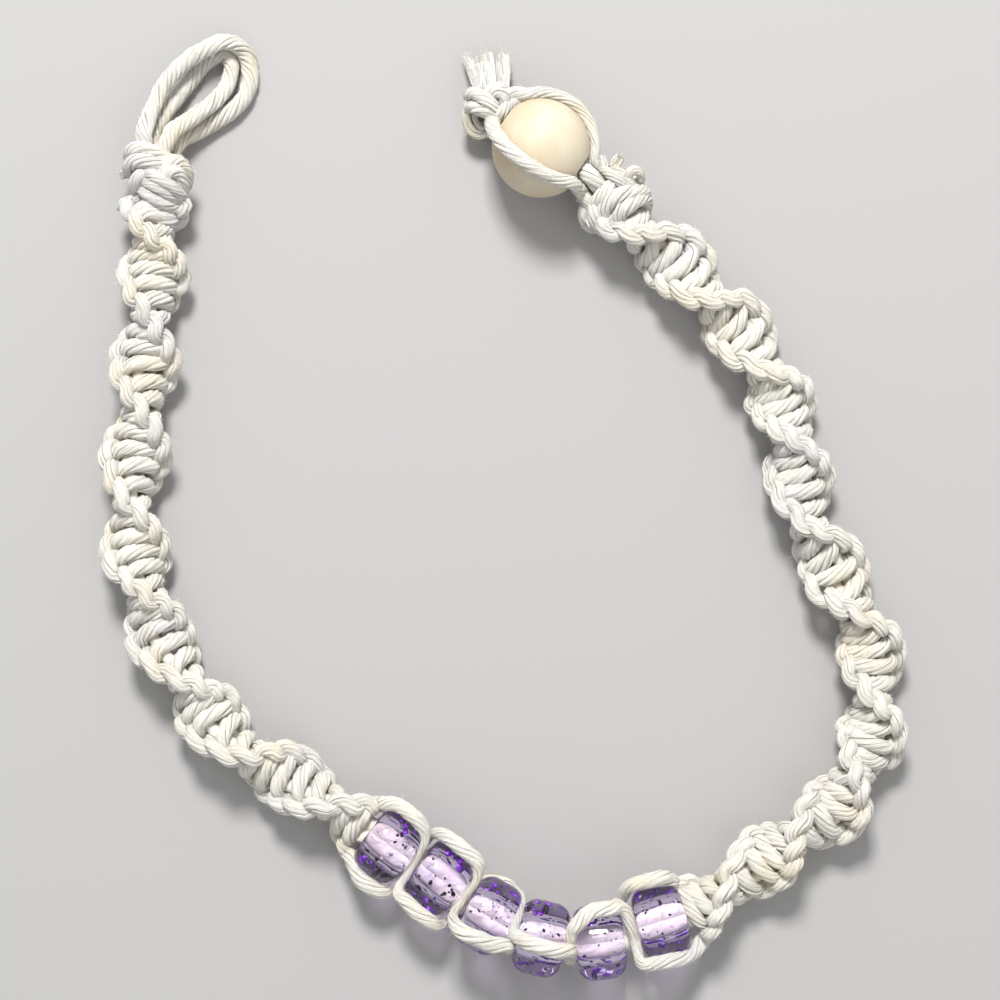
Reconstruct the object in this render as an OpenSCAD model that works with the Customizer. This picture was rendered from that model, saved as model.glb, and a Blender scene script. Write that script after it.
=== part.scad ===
// Macrame anklet, lying open on a flat surface in a U.
// +Z is up, +Y points to the button loop's end, and the origin is under the middle of its box.
// The working order is: button loop, loop knot, left spiral, six beads, right spiral,
// wooden bead, end knot and tail. "Along" means in that order.

/* [Cord] */
// Thickness of a slack cord
cord_d = 2.0; // [1.7:0.1:2.0]
// Thickness of a cord pulled tight between two beads
tight_d = 1.1; // [0.9:0.1:1.1]

/* [Spiral] */
// Width of the flat knotted band that is twisted into the spiral
band_w = 8.7; // [7.8:0.1:8.7]
// Thickness of that band
band_t = 4.6; // [3.8:0.1:4.8]
// How far each knot's bar stands proud of the groove beside it
bar_relief = 0.7; // [0.2:0.1:0.9]
// Knots tied in each quarter turn of the spiral
knots_per_quarter = 2.75; // [2:0.25:3.5]

/* [Beads] */
// Outside diameter of a barrel bead
bead_d = 9; // [8:0.1:9]
// Length of a barrel bead
bead_l = 6; // [5:0.1:6]
// Bore of a barrel bead
bead_bore = 4; // [4:0.1:4.4]
// Radius of a barrel bead's rounded edge
bead_round = 2; // [1.5:0.1:2]
// Diameter of the round wooden bead
wood_d = 11.8; // [10:0.1:12]
// Bore of the wooden bead
wood_bore = 4.4; // [4.2:0.1:4.8]

/* [Knots] */
// Width of the knot under the button loop
loop_knot_w = 8.9; // [7:0.1:9]
// Width of the knot that holds the wooden bead
end_knot_w = 6.4; // [5:0.1:6.5]

/* [Hidden] */

cord_colour = "ivory";
axis_z = band_w / 2 + 0.05;
spiral_sides = 16;
rings_per_knot = 3;
tube_sides = 8;
wrap_sides = 6;

// Middle line of the left spiral, with a row at each flat lobe and each narrow neck.
// Columns: x, y, height, quarter turns from the start
LEFT = [
    [-42.0, 36.1, axis_z, 0], [-42.3, 32.0, axis_z, 1], [-42.2, 27.8, axis_z, 2],
    [-42.6, 22.4, axis_z, 3], [-43.2, 17.2, axis_z, 4], [-43.6, 11.4, axis_z, 5],
    [-44.4, 6.1, axis_z, 6], [-44.8, -0.1, axis_z, 7], [-44.2, -5.3, axis_z, 8],
    [-43.1, -10.7, axis_z, 9], [-41.4, -15.5, axis_z, 10], [-38.0, -21.4, axis_z, 11],
    [-35.4, -25.2, axis_z, 12], [-30.7, -30.2, axis_z, 13], [-25.7, -32.8, axis_z, 14],
    [-20.5, -36.0, axis_z, 15], [-19.1, -37.2, axis_z, 15.4]
];

// Middle line of the right spiral, with the same columns
RIGHT = [
    [22.7, -48.7, axis_z, 0], [26.7, -46.3, axis_z, 1], [31.5, -42.7, axis_z, 2],
    [35.1, -39.8, axis_z, 3], [39.9, -36.4, axis_z, 4], [42.3, -32.2, axis_z, 5],
    [44.4, -27.6, axis_z, 6], [44.5, -23.0, axis_z, 7], [44.2, -17.3, axis_z, 8],
    [42.6, -12.9, axis_z, 9], [39.6, -7.1, axis_z, 10], [36.7, -2.3, axis_z, 11],
    [35.5, 3.7, axis_z, 12], [34.9, 8.0, axis_z, 13], [33.3, 12.8, axis_z, 14],
    [31.5, 16.4, axis_z, 15], [27.9, 21.8, axis_z, 16], [24.8, 24.8, axis_z, 17],
    [20.7, 29.6, axis_z, 18], [16.4, 32.7, axis_z + 0.2, 19], [13.1, 36.9, axis_z + 0.7, 20],
    [9.8, 39.3, axis_z + 1.2, 20.6]
];

// Barrel beads. Columns: x, y, height above the surface that the bead clears, direction of its bore
BEADS = [
    [-13.7, -40.8, 0.05, -38], [-7.7, -44.7, 0.05, -38], [-1.8, -49.2, 0.9, -30],
    [4.5, -51.8, 1.6, -13], [11.5, -52.3, 1.3, 8], [19.0, -49.9, 0.3, 16]
];

// Angle at which a side cord passes each bead, from straight up and towards the outside of the U.
// It takes about half a turn more between two beads, where the half knot is.
SIDE_A = [90, -90, -310, -515, -755, -990];
SIDE_B = [-90, -270, -490, -705, -935, -1170];

// Radius at which the side cords cross between two beads
CROSSING = [3.8, 4.15, 4.6, 4.4, 4.35];

// A side cord from one bead to the next.
// Columns: share of the way, share of the dip to the crossing radius, share of the turn
WRAP = [
    [0, 0, 0], [0.18, 0, 0], [0.34, 0.1, 0.05], [0.42, 0.37, 0.16], [0.46, 0.68, 0.27],
    [0.485, 1, 0.38], [0.5, 1, 0.5], [0.515, 1, 0.62], [0.54, 0.68, 0.73],
    [0.58, 0.37, 0.84], [0.66, 0.1, 0.95], [0.82, 0, 1]
];

// Outer cord of the button loop. Columns: x, y, z
LOOP_OUTER = [
    [-43.2, 44.6, 5.4], [-42.9, 46.2, 4.7], [-42.2, 48.3, 4.1], [-40.9, 51.1, 3.5],
    [-38.7, 53.5, 3.3], [-36.0, 55.3, 3.4], [-34.1, 56.1, 3.3], [-32.6, 56.0, 2.6],
    [-31.4, 55.1, 1.7], [-30.9, 53.5, 1.1], [-30.9, 51.6, 1.05], [-31.6, 49.7, 1.05],
    [-32.9, 48.3, 1.05], [-34.6, 47.2, 1.05], [-36.5, 46.0, 1.2], [-38.1, 45.1, 1.7],
    [-39.1, 44.5, 2.2]
];

// Inner cord of the button loop. Columns: x, y, z
LOOP_INNER = [
    [-42.4, 44.6, 3.1], [-42.0, 46.1, 2.5], [-41.2, 47.8, 1.8], [-39.9, 49.8, 1.2],
    [-38.3, 51.6, 1.05], [-36.5, 53.2, 1.05], [-35.0, 54.2, 1.05], [-33.9, 54.0, 1.05],
    [-33.3, 52.8, 1.1], [-33.4, 51.2, 1.5], [-34.2, 49.5, 2.3], [-35.4, 48.0, 3.1],
    [-37.0, 46.7, 3.6], [-38.5, 45.7, 4.2], [-39.6, 45.0, 4.8]
];

LOOP_KNOT = [-41.7, 40.2, loop_knot_w / 2 - 0.3];
WOOD = [4.5, 42.9, wood_d / 2 + 0.05];
WOOD_AXIS = 146;
END_KNOT = [-2.0, 48.4, end_knot_w / 2 + 0.1];

// Frayed cord ends. Columns: x and y of the root, x and y of the tip, radius
TAIL = [
    [-3.3, 51.0, -4.3, 55.0, 0.7], [-2.5, 51.1, -2.6, 55.2, 0.9],
    [-1.3, 51.1, -1.1, 55.0, 0.9], [-0.5, 51.0, 0.1, 55.1, 0.7]
];

function unit(v) = v / norm(v);
function up() = [0, 0, 1];
function heading(angle) = [cos(angle), sin(angle), 0];
function left_of(t) = unit(cross(up(), t));

// Smooth curve through the rows of a table, where u counts rows
function curve(rows, u) =
    let (
        last = len(rows) - 1,
        i = max(0, min(floor(u), last - 1)),
        t = u - i,
        a = rows[max(i - 1, 0)],
        b = rows[i],
        c = rows[i + 1],
        d = rows[min(i + 2, last)]
    )
    0.5 * (2 * b + (c - a) * t + (2 * a - 5 * b + 4 * c - d) * t ^ 2 + (3 * b - a - 3 * c + d) * t ^ 3);

// Curve between two points with a given direction at each end
function bridge(p, q, dp, dq, t) =
    let (reach = norm(q - p))
    (2 * t ^ 3 - 3 * t ^ 2 + 1) * p + (t ^ 3 - 2 * t ^ 2 + t) * reach * dp
    + (3 * t ^ 2 - 2 * t ^ 3) * q + (t ^ 3 - t ^ 2) * reach * dq;

function tangent(points, i) =
    unit(points[min(i + 1, len(points) - 1)] - points[max(i - 1, 0)]);

// Oval ring round a point: a is the half width beside ref, b the half width along ref
function oval(centre, t, ref, a, b, sides) =
    let (
        e = unit(ref - (ref * t) * t),
        f = cross(t, e)
    )
    [for (k = [0:sides - 1]) centre + b * cos(360 * k / sides) * e + a * sin(360 * k / sides) * f];

// Closed skin over a list of rings that turn the same way
module skin(rings) {
    n = len(rings[0]);
    m = len(rings);
    points = [for (ring = rings) each ring];
    walls = [
        for (i = [0:m - 2], k = [0:n - 1])
            let (
                a = i * n + k,
                b = i * n + (k + 1) % n
            )
            each [[a, a + n, b], [b, a + n, b + n]]
    ];
    first = [for (k = [0:n - 1]) k];
    end = [for (k = [n - 1:-1:0]) (m - 1) * n + k];
    polyhedron(points = points, faces = concat([first], walls, [end]));
}

// Round tube along points, where refs keep its rings from turning over
module tube(points, refs, radii, sides) {
    skin([
        for (i = [0:len(points) - 1])
            oval(points[i], tangent(points, i), refs[i], radii[i], radii[i], sides)
    ]);
}

module cord_along(rows) {
    steps = (len(rows) - 1) * 2;
    points = [for (k = [0:steps]) curve(rows, k / 2)];
    tube(points, [for (p = points) up()], [for (p = points) cord_d / 2], tube_sides);
}

// Outline of the knotted band in its own plane: a rounded oblong, as [across, out, drift along].
// Bars cross its broad sides and bights hook round its edges half a knot later.
function band_ring(knots, ease) =
    [
        for (k = [0:spiral_sides - 1])
            let (
                angle = 360 * (k + 0.5) / spiral_sides,
                c = cos(angle),
                s = sin(angle),
                squareness = 0.7,
                edge = abs(c) ^ 3,
                relief = bar_relief / 2 * (cos(360 * knots + 180 * edge) - 1) * ease,
                across = (band_w / 2 + relief) * sign(c) * abs(c) ^ squareness,
                out = (band_t / 2 + relief) * sign(s) * abs(s) ^ squareness,
                drift = -0.6 * sin(2 * angle) * ease
            )
            [across, out, drift]
    ];

// The knotted band, twisted to the left by a quarter turn for each row
module spiral(rows) {
    last = len(rows) - 1;
    per_row = knots_per_quarter * rings_per_knot;
    turns = rows[last][3];
    count = floor(turns * per_row);
    // Rows count quarter turns one by one, except the short last one
    stops = [
        for (k = [0:count])
            let (q = k * turns / count, whole = rows[last - 1][3])
            q <= whole ? q : whole + (q - whole) / (turns - whole)
    ];
    line = [for (u = stops) let (r = curve(rows, u)) [r[0], r[1], r[2]]];
    rings = [
        for (k = [0:count])
            let (
                q = k * turns / count,
                t = tangent(line, k),
                side = left_of(t),
                high = cross(t, side),
                turn = -90 * q,
                wide = cos(turn) * side + sin(turn) * high,
                thin = cos(turn) * high - sin(turn) * side,
                ease = min(1, k / 3, (count - k) / 3),
                taper = 0.72 + 0.28 * sin(90 * ease)
            )
            [for (p = band_ring(k / rings_per_knot, ease))
                line[k] + taper * (p[0] * wide + p[1] * thin) + p[2] * t]
    ];
    color(cord_colour) skin(rings);
}

module left_spiral() {
    spiral(LEFT);
}

module right_spiral() {
    spiral(RIGHT);
}

module button_loop_outer() {
    color(cord_colour) cord_along(LOOP_OUTER);
}

module button_loop_inner() {
    color(cord_colour) cord_along(LOOP_INNER);
}

// Half outline of a drilled barrel bead with round edges
module barrel_outline() {
    r = bead_d / 2;
    h = bead_l / 2;
    difference() {
        union() {
            translate([0, -h]) square([r - bead_round, bead_l]);
            translate([0, bead_round - h]) square([r, bead_l - 2 * bead_round]);
            for (side = [-1, 1])
                translate([r - bead_round, side * (h - bead_round)]) circle(bead_round, $fn = 48);
        }
        translate([-bead_d, -bead_l]) square([bead_d + bead_bore / 2, 2 * bead_l]);
    }
}

function bead_centre(row) = [row[0], row[1], bead_d / 2 + row[2]];

module pony_bead(row) {
    color("plum", 0.6)
        translate(bead_centre(row)) rotate([0, 90, row[3]])
            rotate_extrude($fn = 48) barrel_outline();
}

// Stops of the line through the beads: the left spiral's end, the beads, the right spiral's start
line_stops = concat(
    [[for (k = [0:2]) LEFT[len(LEFT) - 1][k]]],
    [for (row = BEADS) bead_centre(row)],
    [[for (k = [0:2]) RIGHT[0][k]]]
);
line_headings = concat([-41], [for (row = BEADS) row[3]], [28]);

function bead_line(u) =
    let (i = max(0, min(floor(u), len(line_stops) - 2)))
    bridge(line_stops[i], line_stops[i + 1], heading(line_headings[i]),
        heading(line_headings[i + 1]), u - i);
function bead_line_heading(u) = unit(bead_line(u + 0.01) - bead_line(u - 0.01));

core_w = bead_bore - 1.0;
core_t = cord_d - 0.3;

// The two filler cords side by side, as they run through the beads
module bead_cores() {
    reach = len(line_stops) - 1;
    steps = 4 * reach;
    start = 0.06;
    stop = reach - 0.1;
    points = [for (k = [0:steps]) bead_line(start + (stop - start) * k / steps)];
    color(cord_colour)
        skin([for (k = [0:steps])
            oval(points[k], tangent(points, k), up(), core_w / 2, core_t / 2, tube_sides)]);
}

// Direction from the bead line at an angle from straight up, towards the outside of the U
function around(t, angle) = cos(angle) * up() - sin(angle) * left_of(t);

// Line that the side cords turn round: each bead's own bore line beside the bead, and the bead line
// between two beads
function side_line(u) =
    let (
        i = round(u),
        s = u - i,
        blend = i < 1 || i > len(BEADS) ? 1 : max(0, min(1, (abs(s) - 0.3) / 0.15)),
        step = norm(line_stops[min(max(i + sign(s), 0), len(line_stops) - 1)] - line_stops[i])
    )
    blend * bead_line(u) + (1 - blend) * (line_stops[i] + s * step * heading(line_headings[i]));

side_r = cord_d * 0.38;
side_rest = bead_d / 2 + side_r + 0.15;

// A side cord as rows of [share along the bead line, radius from it, angle, cord radius]
function side_rows(angles) =
    let (last = len(angles) - 1)
    concat(
        [
            [0.13, 2.1, angles[0], side_r], [0.3, 3.3, angles[0], side_r],
            [0.5, 4.6, angles[0], side_r], [0.72, side_rest, angles[0], side_r]
        ],
        [
            for (i = [0:last - 1], w = WRAP)
                [
                    1 + i + w[0],
                    side_rest + (CROSSING[i] - side_rest) * w[1],
                    angles[i] + (angles[i + 1] - angles[i]) * w[2],
                    side_r + (tight_d / 2 - side_r) * w[1]
                ]
        ],
        [
            [last + 1, side_rest, angles[last], side_r],
            [last + 1.3, side_rest, angles[last], side_r],
            [last + 1.7, side_rest - 0.4, angles[last], side_r]
        ]
    );

module side_cord(angles) {
    rows = side_rows(angles);
    ways = [for (r = rows) around(bead_line_heading(r[0]), r[2])];
    points = [for (i = [0:len(rows) - 1]) side_line(rows[i][0]) + rows[i][1] * ways[i]];
    color(cord_colour) tube(points, ways, [for (r = rows) r[3]], wrap_sides);
}

module side_cord_a() {
    side_cord(SIDE_A);
}

module side_cord_b() {
    side_cord(SIDE_B);
}

module wooden_bead() {
    color("navajowhite")
        translate(WOOD) rotate([0, 90, WOOD_AXIS])
            difference() {
                sphere(d = wood_d, $fn = 96);
                cylinder(h = 2 * wood_d, d = wood_bore, center = true, $fn = 48);
            }
}

// The filler cords through the wooden bead, from the right spiral into the end knot
module wooden_core() {
    t = heading(WOOD_AXIS);
    half = sqrt(wood_d ^ 2 - wood_bore ^ 2) / 2;
    points = [for (s = [-half - 0.8, -half / 2, half / 2, half + 0.9]) WOOD + s * t];
    color(cord_colour)
        skin([for (k = [0:len(points) - 1])
            oval(points[k], t, up(), core_w / 2, core_t / 2, tube_sides)]);
}

// A side cord over the wooden bead, at an angle from straight up
module wooden_side(angle) {
    t = heading(WOOD_AXIS);
    rest = wood_d / 2 + side_r + 0.1;
    way = cos(angle) * up() + sin(angle) * left_of(t);
    steps = 12;
    first = 152;
    last = 30;
    swing = [for (k = [0:steps]) first + (last - first) * k / steps];
    ways = [for (s = swing) cos(s) * t + sin(s) * way];
    color(cord_colour)
        tube([for (w = ways) WOOD + rest * w], ways, [for (s = swing) side_r], tube_sides);
}

module wooden_side_a() {
    wooden_side(-88);
}

module wooden_side_b() {
    wooden_side(22);
}

// A closed cord ring round a knot, lying in the plane across turn and tilt
module wrap(at, tilt, lean, a, b, r) {
    steps = 12;
    translate(at) rotate([tilt, 0, lean])
        for (k = [0:steps - 1])
            hull()
                for (j = [k, k + 1])
                    translate([a * cos(360 * j / steps), 0, b * sin(360 * j / steps)])
                        sphere(r, $fn = 8);
}

module loop_knot() {
    r = loop_knot_w / 7.6;
    a = loop_knot_w / 2 - r;
    color(cord_colour) {
        wrap(LOOP_KNOT + [-0.1, 2.0, 0], 8, 6, a * 0.92, a * 0.9, r);
        wrap(LOOP_KNOT + [0.2, 0.2, 0], -12, -14, a, a * 0.92, r);
        wrap(LOOP_KNOT + [0.4, -1.6, 0], 10, -32, a * 0.8, a * 0.85, r);
        translate(LOOP_KNOT) sphere(loop_knot_w * 0.38, $fn = 14);
    }
}

module end_knot() {
    r = end_knot_w / 7;
    a = end_knot_w / 2 - r;
    color(cord_colour) {
        wrap(END_KNOT + [0.5, -0.4, 0], 0, 50, a * 0.9, a, r);
        wrap(END_KNOT + [-0.4, 0.5, 0], 14, 25, a, a, r);
        translate(END_KNOT) sphere(end_knot_w * 0.4, $fn = 12);
    }
}

module tail() {
    z = 2.2;
    color(cord_colour)
        for (row = TAIL)
            hull() {
                translate([row[0], row[1] + 0.8, z]) sphere(row[4], $fn = 8);
                translate([row[2], row[3], z - 0.6]) sphere(row[4] * 0.9, $fn = 8);
            }
}

button_loop_outer();
button_loop_inner();
loop_knot();
left_spiral();
pony_bead(BEADS[0]);  // pony_bead_1
pony_bead(BEADS[1]);  // pony_bead_2
pony_bead(BEADS[2]);  // pony_bead_3
pony_bead(BEADS[3]);  // pony_bead_4
pony_bead(BEADS[4]);  // pony_bead_5
pony_bead(BEADS[5]);  // pony_bead_6
bead_cores();
side_cord_a();
side_cord_b();
right_spiral();
wooden_bead();
wooden_core();
wooden_side_a();
wooden_side_b();
end_knot();
tail();
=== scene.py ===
"""Looks of the macrame anklet: every cord as a laid cord of soft yarns, knotted as the real one is.

Lengths are millimetres in the part's own frame, and MM turns them into metres where a mesh is made.
"Along" runs from the button loop, down the left side, through the beads and up the right side to the
wooden bead.
"""

import bpy
import numpy as np
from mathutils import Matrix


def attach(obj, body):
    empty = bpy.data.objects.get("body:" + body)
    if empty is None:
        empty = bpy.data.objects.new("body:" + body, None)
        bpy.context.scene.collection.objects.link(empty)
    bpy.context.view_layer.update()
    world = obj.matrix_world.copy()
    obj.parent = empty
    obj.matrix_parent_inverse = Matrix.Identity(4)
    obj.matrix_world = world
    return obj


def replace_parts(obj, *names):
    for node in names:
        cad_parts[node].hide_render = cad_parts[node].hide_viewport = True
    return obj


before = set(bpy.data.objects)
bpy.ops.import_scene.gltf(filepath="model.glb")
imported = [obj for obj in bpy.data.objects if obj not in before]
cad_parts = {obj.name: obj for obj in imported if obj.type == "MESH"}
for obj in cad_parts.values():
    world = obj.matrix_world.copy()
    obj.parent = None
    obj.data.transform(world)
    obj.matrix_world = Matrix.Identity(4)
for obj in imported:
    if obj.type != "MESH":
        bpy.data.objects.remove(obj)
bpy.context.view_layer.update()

MM = 0.001
UP = np.array([0.0, 0.0, 1.0])

# The photograph's scale and framing, and the height at which the scale holds
PIXELS_PER_MM = 8.3
PHOTO_SIDE_PX = 1000
PHOTO_CENTRE = (-0.42, 0.72)
CORD_HEIGHT = 4.5
CAMERA_DISTANCE = 300

# Floor and light. Columns of the lamps: name, place and side in metres, power in watts
FLOOR_SIDE = 3
FLOOR_GREY = (0.38, 0.37, 0.36)
SKY = (0.95, 0.97, 1)
SKY_STRENGTH = 0.6
LAMPS = (("key", (-0.05, 0.44, 0.56), 0.15, 7.0), ("fill", (0.3, -0.5, 0.7), 0.8, 1.4))

# Colours of unbleached cotton: clean, yellowed, greyed, brightest, then painted shade in the hollows
# between fibres, and painted shade in the grooves between yarns
COTTON_CREAM = (0.84, 0.81, 0.73)
COTTON_YELLOW = (0.85, 0.77, 0.60)
COTTON_GREY = (0.71, 0.70, 0.72)
COTTON_WHITE = (0.88, 0.86, 0.80)
COTTON_FIBRE_SHADE = (0.50, 0.45, 0.36)
COTTON_GROOVE_SHADE = (0.17, 0.14, 0.10)

# How often in a metre the cotton turns yellow, grey and bright, and how far its fibres stand out
YELLOW_RATE = 150
GREY_RATE = 95
BRIGHT_RATE = 700
COTTON_RELIEF = 0.00024

# Clear lilac plastic: its skin, the light of the lamps that it lets through, and its dye
PLASTIC_SKIN = (0.97, 0.95, 0.99)
PLASTIC_SHADE = (0.53, 0.5, 0.54)
PLASTIC_DYE = (0.44, 0.27, 0.68)
DYE_DENSITY = 105
PLASTIC_IOR = 1.47

# Pale wood, its lighter stretches and its veins, how often in a metre each comes, and their depth
WOOD_PALE = (0.56, 0.46, 0.32)
WOOD_LIGHT = (0.61, 0.54, 0.41)
WOOD_VEIN = (0.62, 0.44, 0.25)
WOOD_RATE = 170
VEIN_RATE = (70, 1500, 1500)
VEIN_RELIEF = 0.00004

# Foils of the glitter, and the share of the flakes at which each one after the black starts
FOIL_BLACK = (0.012, 0.01, 0.016)
FOIL_PURPLE = (0.035, 0.012, 0.08)
FOIL_VIOLET = (0.3, 0.06, 0.75)
FOIL_SILVER = (0.85, 0.84, 0.9)
PURPLE_FROM = 0.34
VIOLET_FROM = 0.5
SILVER_FROM = 0.86

# Glitter flakes: how many in a bead, sizes and the share of each, stretch, half thickness, lean, the
# share of the bead's length that they lie in to each side, and least depth below the bead's skin
FLAKES_EACH = 130
FLAKE_SIZES = (0.08, 0.13, 0.18, 0.24)
FLAKE_SHARES = (0.3, 0.35, 0.22, 0.13)
FLAKE_STRETCH = (0.7, 1.6)
FLAKE_HALF = 0.02
FLAKE_LEAN = 0.45
FLAKE_REACH = 0.38
FLAKE_DEPTH = 0.1

# Room that a flake's middle keeps to the bead's skin and bore, and the violet ones to the skin, which
# lie in the outer quarter of the wall, at the two sides of the bead, and are larger
FLAKE_ROOM = 0.25
VIOLET_ROOM = 0.4
VIOLET_INNER = 0.75
VIOLET_ANGLES = (-0.95, 0.7)
VIOLET_SIZE = 2

# Cord: its radius where it lies free, as a filler in a spiral, as one in a bead's bore, and the
# distance of that one from the bore's middle
CORD_R = 1.03
FILLER_R = 0.8
BORE_FILLER_R = 1.1
BORE_FILLER_OUT = 0.72

# Lay of the yarns: their number, the length of one turn in a free cord and a knotted one, the depth of
# the groove between two yarns as a share of the radius, in cords that show and in hidden ones, and the
# distance between rings of points
YARNS = 8
LAY = 8.5
KNOTTED_LAY = 12
GROOVE = 0.15
HIDDEN_GROOVE = 0.03
RING_STEP = 0.48
LOOP_RING_STEP = 0.36
KNOT_RING_STEP = 0.34
FILLER_RING_STEP = 1.0
FIBRE_RING_STEP = 0.5

# Depth of the groove, as a share of its full depth, at each point round a yarn
YARN_DEPTH = np.array([1.0, 0.4, 0.04, 0.04, 0.4])

# Unevenness of a cord's thickness, groove depth, yarn height, skin height and twist: how many rings lie
# between two random values, and their spread
THICKNESS_WANDER = (9, 0.03)
GROOVE_WANDER = (8, 0.35)
YARN_WANDER = (7, 0.035)
SKIN_WANDER = (5, 0.014)
TWIST_WANDER = (12, 0.12)

# Share of its depth that a groove starts with, and the least and the most that it comes to
GROOVE_START = (0.2, 1.5)
GROOVE_LIMITS = (0.05, 2)

# Yarns and millimetres by which one cord's map may be shifted from another's
MAP_YARNS = 40
MAP_SHIFT = 50

# Spirals: half knots in a quarter turn, their pitch, the height of the middle line, the first turn
KNOTS_PER_QUARTER = 2.75
KNOT_PITCH = 2.0
AXIS_Z = 4.4
LEAN = np.radians(21)

# Unevenness of the half knots: spread of their width and depth as shares, of their place in knots, and
# of each point in millimetres, and the slope of the bars with its limit
KNOT_WIDTH_SPREAD = 0.035
KNOT_DEPTH_SPREAD = 0.03
KNOT_PLACE_SPREAD = 0.04
POINT_SPREAD = 0.04
BAR_SLOPE = (2.5, 0.09)
STEEPEST_BAR = 0.2

# Lowest place of a knotted cord's middle above the surface
LOWEST_MIDDLE = 0.97

# Loose fibres: seed, number, most in one piece, lengths and the share of it that is left, radius, depth
# of the root, how steeply they stand and how far that varies, and their bend at random and outwards
HAIR_SEED = 7
HAIRS = 18000
HAIRS_EACH = 16000
HAIR_LENGTHS = (0.3, 0.95)
HAIR_CUT = (0.4, 1)
HAIR_R = 0.018
HAIR_SUNK = 0.05
HAIR_STAND = 0.6
HAIR_SPREAD = 0.35
HAIR_BEND = (0.6, 0.4)

# Where loose fibres may stand: the distances at which the space above a root has to be clear, the side
# of the cells that this is checked in, and the lowest places of a root and of a fibre
HAIR_CLEAR = (0.5, 0.9)
HAIR_CELL = 0.4
LOWEST_ROOT = 0.5
LOWEST_HAIR = 0.03

# Brushes at cut ends: first the soft yarns, then the coat of fibres. Columns: how many, radius in shares
# of the root's, least radius, length as a share, share of the section where they start and end, sides
BRUSH_YARNS = ((10, 0.4, 0, 0.96, 0.0, 0.75, 8), (80, 0, 0.045, 1.02, 0.4, 1.0, 4))

# Form of a brush. Stops: share of the length and thickness there. Then the spread of the lengths, the
# angle from one fibre to the next, how flat and how swollen the brush is, and how uneven each fibre is
BRUSH_STOPS = np.array([(0, 1), (0.3, 1.1), (0.6, 1.15), (0.85, 1.05), (1, 0.7)])
BRUSH_LENGTHS = (0.82, 1.04)
BRUSH_TURN = 2.4
BRUSH_FLAT = 0.8
BRUSH_SWELL = 0.25
FIBRE_WANDER = 0.07
FIBRE_UNEVEN = 0.08
FIBRE_TWIST = 1.1
LOWEST_FIBRE = 0.2

# Middle line of the left spiral. Columns: x, y, height, quarter turns from the start
LEFT = np.array([
    (-42.0, 36.1, AXIS_Z, 0), (-42.3, 32.0, AXIS_Z, 1), (-42.2, 27.8, AXIS_Z, 2),
    (-42.6, 22.4, AXIS_Z, 3), (-43.2, 17.2, AXIS_Z, 4), (-43.6, 11.4, AXIS_Z, 5),
    (-44.4, 6.1, AXIS_Z, 6), (-44.8, -0.1, AXIS_Z, 7), (-44.2, -5.3, AXIS_Z, 8),
    (-43.1, -10.7, AXIS_Z, 9), (-41.4, -15.5, AXIS_Z, 10), (-38.0, -21.4, AXIS_Z, 11),
    (-35.4, -25.2, AXIS_Z, 12), (-30.7, -30.2, AXIS_Z, 13), (-25.7, -32.8, AXIS_Z, 14),
    (-20.5, -36.0, AXIS_Z, 15), (-17.0, -38.6, AXIS_Z, 15.9)])

# Middle line of the right spiral, with the same columns
RIGHT = np.array([
    (22.7, -48.7, AXIS_Z, 0), (26.7, -46.3, AXIS_Z, 1), (31.5, -42.7, AXIS_Z, 2),
    (35.1, -39.8, AXIS_Z, 3), (39.9, -36.4, AXIS_Z, 4), (42.3, -32.2, AXIS_Z, 5),
    (44.4, -27.6, AXIS_Z, 6), (44.5, -23.0, AXIS_Z, 7), (44.2, -17.3, AXIS_Z, 8),
    (42.6, -12.9, AXIS_Z, 9), (39.6, -7.1, AXIS_Z, 10), (36.7, -2.3, AXIS_Z, 11),
    (35.5, 3.7, AXIS_Z, 12), (34.9, 8.0, AXIS_Z, 13), (33.3, 12.8, AXIS_Z, 14),
    (31.5, 16.4, AXIS_Z, 15), (27.9, 21.8, AXIS_Z, 16), (24.8, 24.8, AXIS_Z, 17),
    (20.7, 29.6, AXIS_Z, 18), (16.4, 32.7, AXIS_Z + 0.2, 19), (13.1, 36.9, AXIS_Z + 0.7, 20),
    (9.8, 39.3, AXIS_Z + 1.2, 20.6)])

# One cord's way through one half knot, from the middle of its bar in front of the fillers to the
# middle of its bar behind them. Columns: across the band, out of its face, along it, cord radius
HALF_KNOT = np.array([
    (0.0, 1.38, 0.0, 1.06), (1.6, 1.3, 0.05, 1.0), (2.5, 0.6, 0.1, 0.76),
    (3.3, 0.05, 0.3, 0.78), (3.55, 0.4, 1.05, 0.86), (3.35, 1.05, 1.8, 0.9),
    (2.9, 1.5, 2.45, 0.86), (2.35, 0.8, 3.1, 0.74), (1.85, -0.9, 2.3, 0.88)])
FILLER_OUT = 0.85

# Barrel beads. Columns: x, y, height above the surface that the bead clears, direction of its bore
BEADS = np.array([
    (-13.7, -40.8, 0.05, -38), (-7.7, -44.7, 0.05, -38), (-1.8, -49.2, 0.9, -30),
    (4.5, -51.8, 1.6, -13), (11.5, -52.3, 1.3, 8), (19.0, -49.9, 0.3, 16)])
BEAD_D = 9
BEAD_L = 6
BEAD_BORE = 4
BEAD_ROUND = 2
BEAD_CENTRES = np.column_stack([BEADS[:, :2], BEAD_D / 2 + BEADS[:, 2]])

# Stops of the line through the beads: the left spiral's end, the beads, the right spiral's start
LINE_STOPS = np.concatenate([[(-19.1, -37.2, AXIS_Z)], BEAD_CENTRES, RIGHT[:1, :3]])
LINE_HEADINGS = np.concatenate([[-41], BEADS[:, 3], [28]])

# Places along that line, counted in stops: those of the fillers in the bores, and the distance from a
# bead at which a side cord starts to follow the line itself, with the distance that it takes to do so
BORE_FILLER_PLACES = np.linspace(0.3, len(LINE_STOPS) - 1.15, 26)
FREE_FROM = 0.3
FREE_OVER = 0.15

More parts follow.
